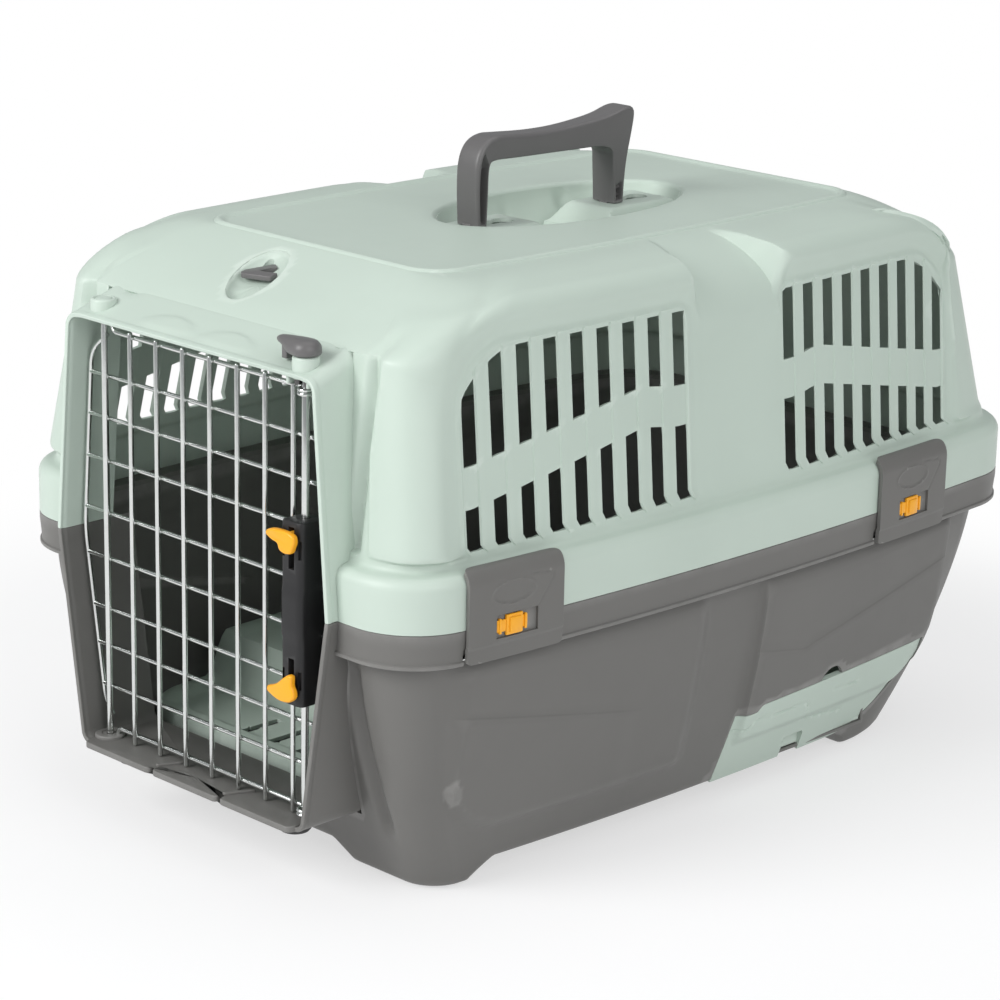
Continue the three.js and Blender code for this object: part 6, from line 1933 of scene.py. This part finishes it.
tray = dict(frontY=-211.5, backY=225.5, lowZ=14.9, frontZ=44.0, backZ=71.0, stepY=-150.0, stepRun=14.0, wall=2.3,
            slotPitch=24.0, gapToWall=5.3, corner=36.0, backCorner=84.0)
traySlots = ((-200.0, -168.0), (-82.0, -48.0), (-20.0, 14.0), (60.0, 94.0), (130.0, 164.0))


def trayHalf(y):
    half = sideHalf(y) - tubLean(14.65) - 2.3 - tray["gapToWall"]
    for edge, corner in ((y - tray["frontY"], tray["corner"]), (tray["backY"] - y, tray["backCorner"])):
        if edge < corner:
            half -= corner - math.sqrt(max(0.0, corner ** 2 - (corner - max(edge, 0)) ** 2))
    return half


def trayZ(x, y):
    level = mix(tray["frontZ"], tray["backZ"], ease((y - tray["stepY"] + 2) / (tray["stepRun"] + 4)))
    # a shallow well with a raised border, and a low rib down the middle of each row of slots
    border = min(trayHalf(y) - abs(x), y - tray["frontY"], tray["backY"] - y)
    level -= 2.4 * ease((border - 11) / 5)
    if y > tray["stepY"] + 24:
        level -= 1.6 * (1 - ease(abs(abs(x) - 60) / 2.6 - 0.3))
    return level


def makeTray():
    ys = sorted(set([tray["frontY"] + k * 2.5 for k in range(1, 10)] + [mix(-188, 203, k / 110) for k in range(111)]
                    + [y for pair in traySlots for y in pair] + [tray["backY"] - k * 2.5 for k in range(1, 10)]))
    ys = [tray["frontY"]] + ys + [tray["backY"]]
    slotX = sorted(x for i in range(5) for x in ((i - 2) * tray["slotPitch"] - 3, (i - 2) * tray["slotPitch"] + 3))
    shares = sorted(set([k / 40 for k in range(-40, 41)]))
    bm = bmesh.new()

    def acrossAt(c, y):
        half = trayHalf(y)
        x = shares[c] * half
        # the nearest columns settle on the slots' edges
        for edge in slotX:
            if abs(x - edge) < half / 80:
                return edge
        return x

    def place(c, r):
        # the outermost column and row on every side hang down as the tray's skirt
        rr = min(max(r - 1, 0), len(ys) - 1)
        cc = min(max(c - 1, 0), len(shares) - 1)
        y = ys[rr]
        x = acrossAt(cc, y)
        z = trayZ(x, y) - 1.2 * (cc in (0, len(shares) - 1) or rr in (0, len(ys) - 1))
        if c in (0, len(shares) + 1) or r in (0, len(ys) + 1):
            z = tray["lowZ"]
        return spot(x, y, z)

    def hole(c, r):
        if not (1 <= c <= len(shares) - 1 and 1 <= r <= len(ys) - 1):
            return False
        y = (ys[r - 1] + ys[r]) / 2
        x = (acrossAt(c - 1, y) + acrossAt(c, y)) / 2
        inRow = any(low < y < high for low, high in traySlots)
        return inRow and any(a < x < b for a, b in zip(slotX[::2], slotX[1::2]))

    shapedGrid(bm, len(shares) + 1, len(ys) + 1, place, hole)
    tidyMesh(bm, outward=False)
    faceAlong(bm, z=1)
    piece = addPiece("tray_floor", bm, "shells", sagePlastic, ["floor_tray"])
    thicken(piece, tray["wall"], 0.5)


makeTray()

# ---- feet under the sill


def makeFeet():
    for word, side in (("left", -1), ("right", 1)):
        bm = bmesh.new()
        top = 41.6
        profile = [(0, top - 9), (7.4, top - 9), (8.2, top - 8.7), (9.6, top - 7.0), (10, top - 6.2), (10, top - 3.4),
                   (9.5, top - 3.1), (9.5, top - 2.6), (10, top - 2.3), (10, top - 0.4), (9.6, top), (3, top),
                   (3, top + 1.6), (0, top + 1.6)]
        turned(bm, (side * 72.0, -262.0, 0), profile, 44)
        for k in range(3):
            r = 2.2 + 2.0 * k
            turned(bm, (side * 72.0, -262.0, 0), [(r, top - 9), (r + 0.5, top - 9.35), (r + 1.0, top - 9)], 44)
        tidyMesh(bm)
        addPiece(f"rubber_foot_{word}", bm, "shells", darkRubber, [f"sill_foot_{word}"], smooth=45)


makeFeet()
print("clips, tray and feet ready")


# ---- floor, light and camera

stage = dict(floorRadius=4.0, clearFrom=0.34, clearTo=0.7, nearGlow=0.6)


def studioFloor():
    bm = bmesh.new()
    bmesh.ops.create_circle(bm, cap_ends=True, segments=96, radius=stage["floorRadius"])
    mesh = bpy.data.meshes.new("studio_floor")
    bm.to_mesh(mesh)
    bm.free()
    floor = bpy.data.objects.new("studio_floor", mesh)
    scene.collection.objects.link(floor)
    floor.location = (0, 0, -0.0003)
    material = bpy.data.materials.new("studioFloor")
    material.use_nodes = True
    tree = material.node_tree
    tree.nodes.remove(tree.nodes["Principled BSDF"])
    paper = node(tree, "ShaderNodeBsdfDiffuse", {"Color": (0.92, 0.92, 0.925, 1)})
    glow = node(tree, "ShaderNodeEmission", {"Color": (1, 1, 1, 1)})
    path = node(tree, "ShaderNodeLightPath").outputs
    place = node(tree, "ShaderNodeTexCoord").outputs["Object"]
    away = node(tree, "ShaderNodeVectorMath", {0: place}, operation="LENGTH")
    reach = node(tree, "ShaderNodeMapRange",
                 {"From Min": stage["clearFrom"], "From Max": stage["clearTo"], "To Min": stage["nearGlow"],
                  "Value": away.outputs["Value"]}, interpolation_type="SMOOTHERSTEP")
    seen = node(tree, "ShaderNodeMath", {0: path["Is Camera Ray"], 1: path["Is Transmission Ray"]}, operation="MAXIMUM")
    shown = node(tree, "ShaderNodeMath", {0: seen.outputs[0], 1: path["Is Glossy Ray"]}, operation="MAXIMUM")
    share = node(tree, "ShaderNodeMath", {0: shown.outputs[0], 1: reach.outputs[0]}, operation="MULTIPLY")
    blend = node(tree, "ShaderNodeMixShader", {0: share.outputs[0], 1: paper.outputs[0], 2: glow.outputs[0]})
    tree.links.new(blend.outputs[0], tree.nodes["Material Output"].inputs[0])
    mesh.materials.append(material)


def studioWorld():
    world = bpy.data.worlds.new("studio")
    scene.world = world
    world.use_nodes = True
    tree = world.node_tree
    soft = tree.nodes["Background"]
    soft.inputs["Color"].default_value = (0.95, 0.97, 1.0, 1)
    soft.inputs["Strength"].default_value = 0.34
    white = node(tree, "ShaderNodeBackground", {"Color": (1, 1, 1, 1)})
    path = node(tree, "ShaderNodeLightPath").outputs
    seen = node(tree, "ShaderNodeMath", {0: path["Is Camera Ray"], 1: path["Is Transmission Ray"]}, operation="MAXIMUM")
    blend = node(tree, "ShaderNodeMixShader", {0: seen.outputs[0], 1: soft.outputs[0], 2: white.outputs[0]})
    tree.links.new(blend.outputs[0], tree.nodes["World Output"].inputs[0])


lamps = {
    "key": dict(at=(-0.7, -2.8, 1.9), size=1.8, power=88),
    "fill": dict(at=(2.6, -0.6, 1.5), size=2.2, power=34),
    "top": dict(at=(0.2, 0.6, 2.8), size=2.2, power=17),
}


def studioLamps():
    for name, lamp in lamps.items():
        light = bpy.data.lights.new(name, "AREA")
        light.size = lamp["size"]
        light.energy = lamp["power"]
        holder = bpy.data.objects.new(name, light)
        scene.collection.objects.link(holder)
        holder.location = lamp["at"]
        aim = Vector((0, 0, 0.18)) - holder.location
        holder.rotation_euler = aim.to_track_quat("-Z", "Y").to_euler()


view = dict(at=(1.34475, -1.38205, 0.7315), azimuth=44.73, elevation=16.514, roll=1.17, lens=116.5)


def studioCamera():
    camera = bpy.data.objects.new("camera", bpy.data.cameras.new("camera"))
    scene.collection.objects.link(camera)
    camera.data.sensor_width = 36
    camera.data.lens = view["lens"]
    camera.data.clip_start = 0.05
    a, e, r = (math.radians(view[key]) for key in ("azimuth", "elevation", "roll"))
    back = Vector((math.sin(a) * math.cos(e), -math.cos(a) * math.cos(e), math.sin(e)))
    right = Vector((math.cos(a), math.sin(a), 0))
    up = back.cross(right)
    rolledRight = right * math.cos(r) + up * math.sin(r)
    rolledUp = up * math.cos(r) - right * math.sin(r)
    axes = Matrix((rolledRight, rolledUp, back)).transposed()
    camera.matrix_world = Matrix.Translation(view["at"]) @ axes.to_4x4()
    scene.camera = camera


studioFloor()
studioWorld()
studioLamps()
studioCamera()
scene.view_settings.view_transform = "Standard"
print("stage ready")
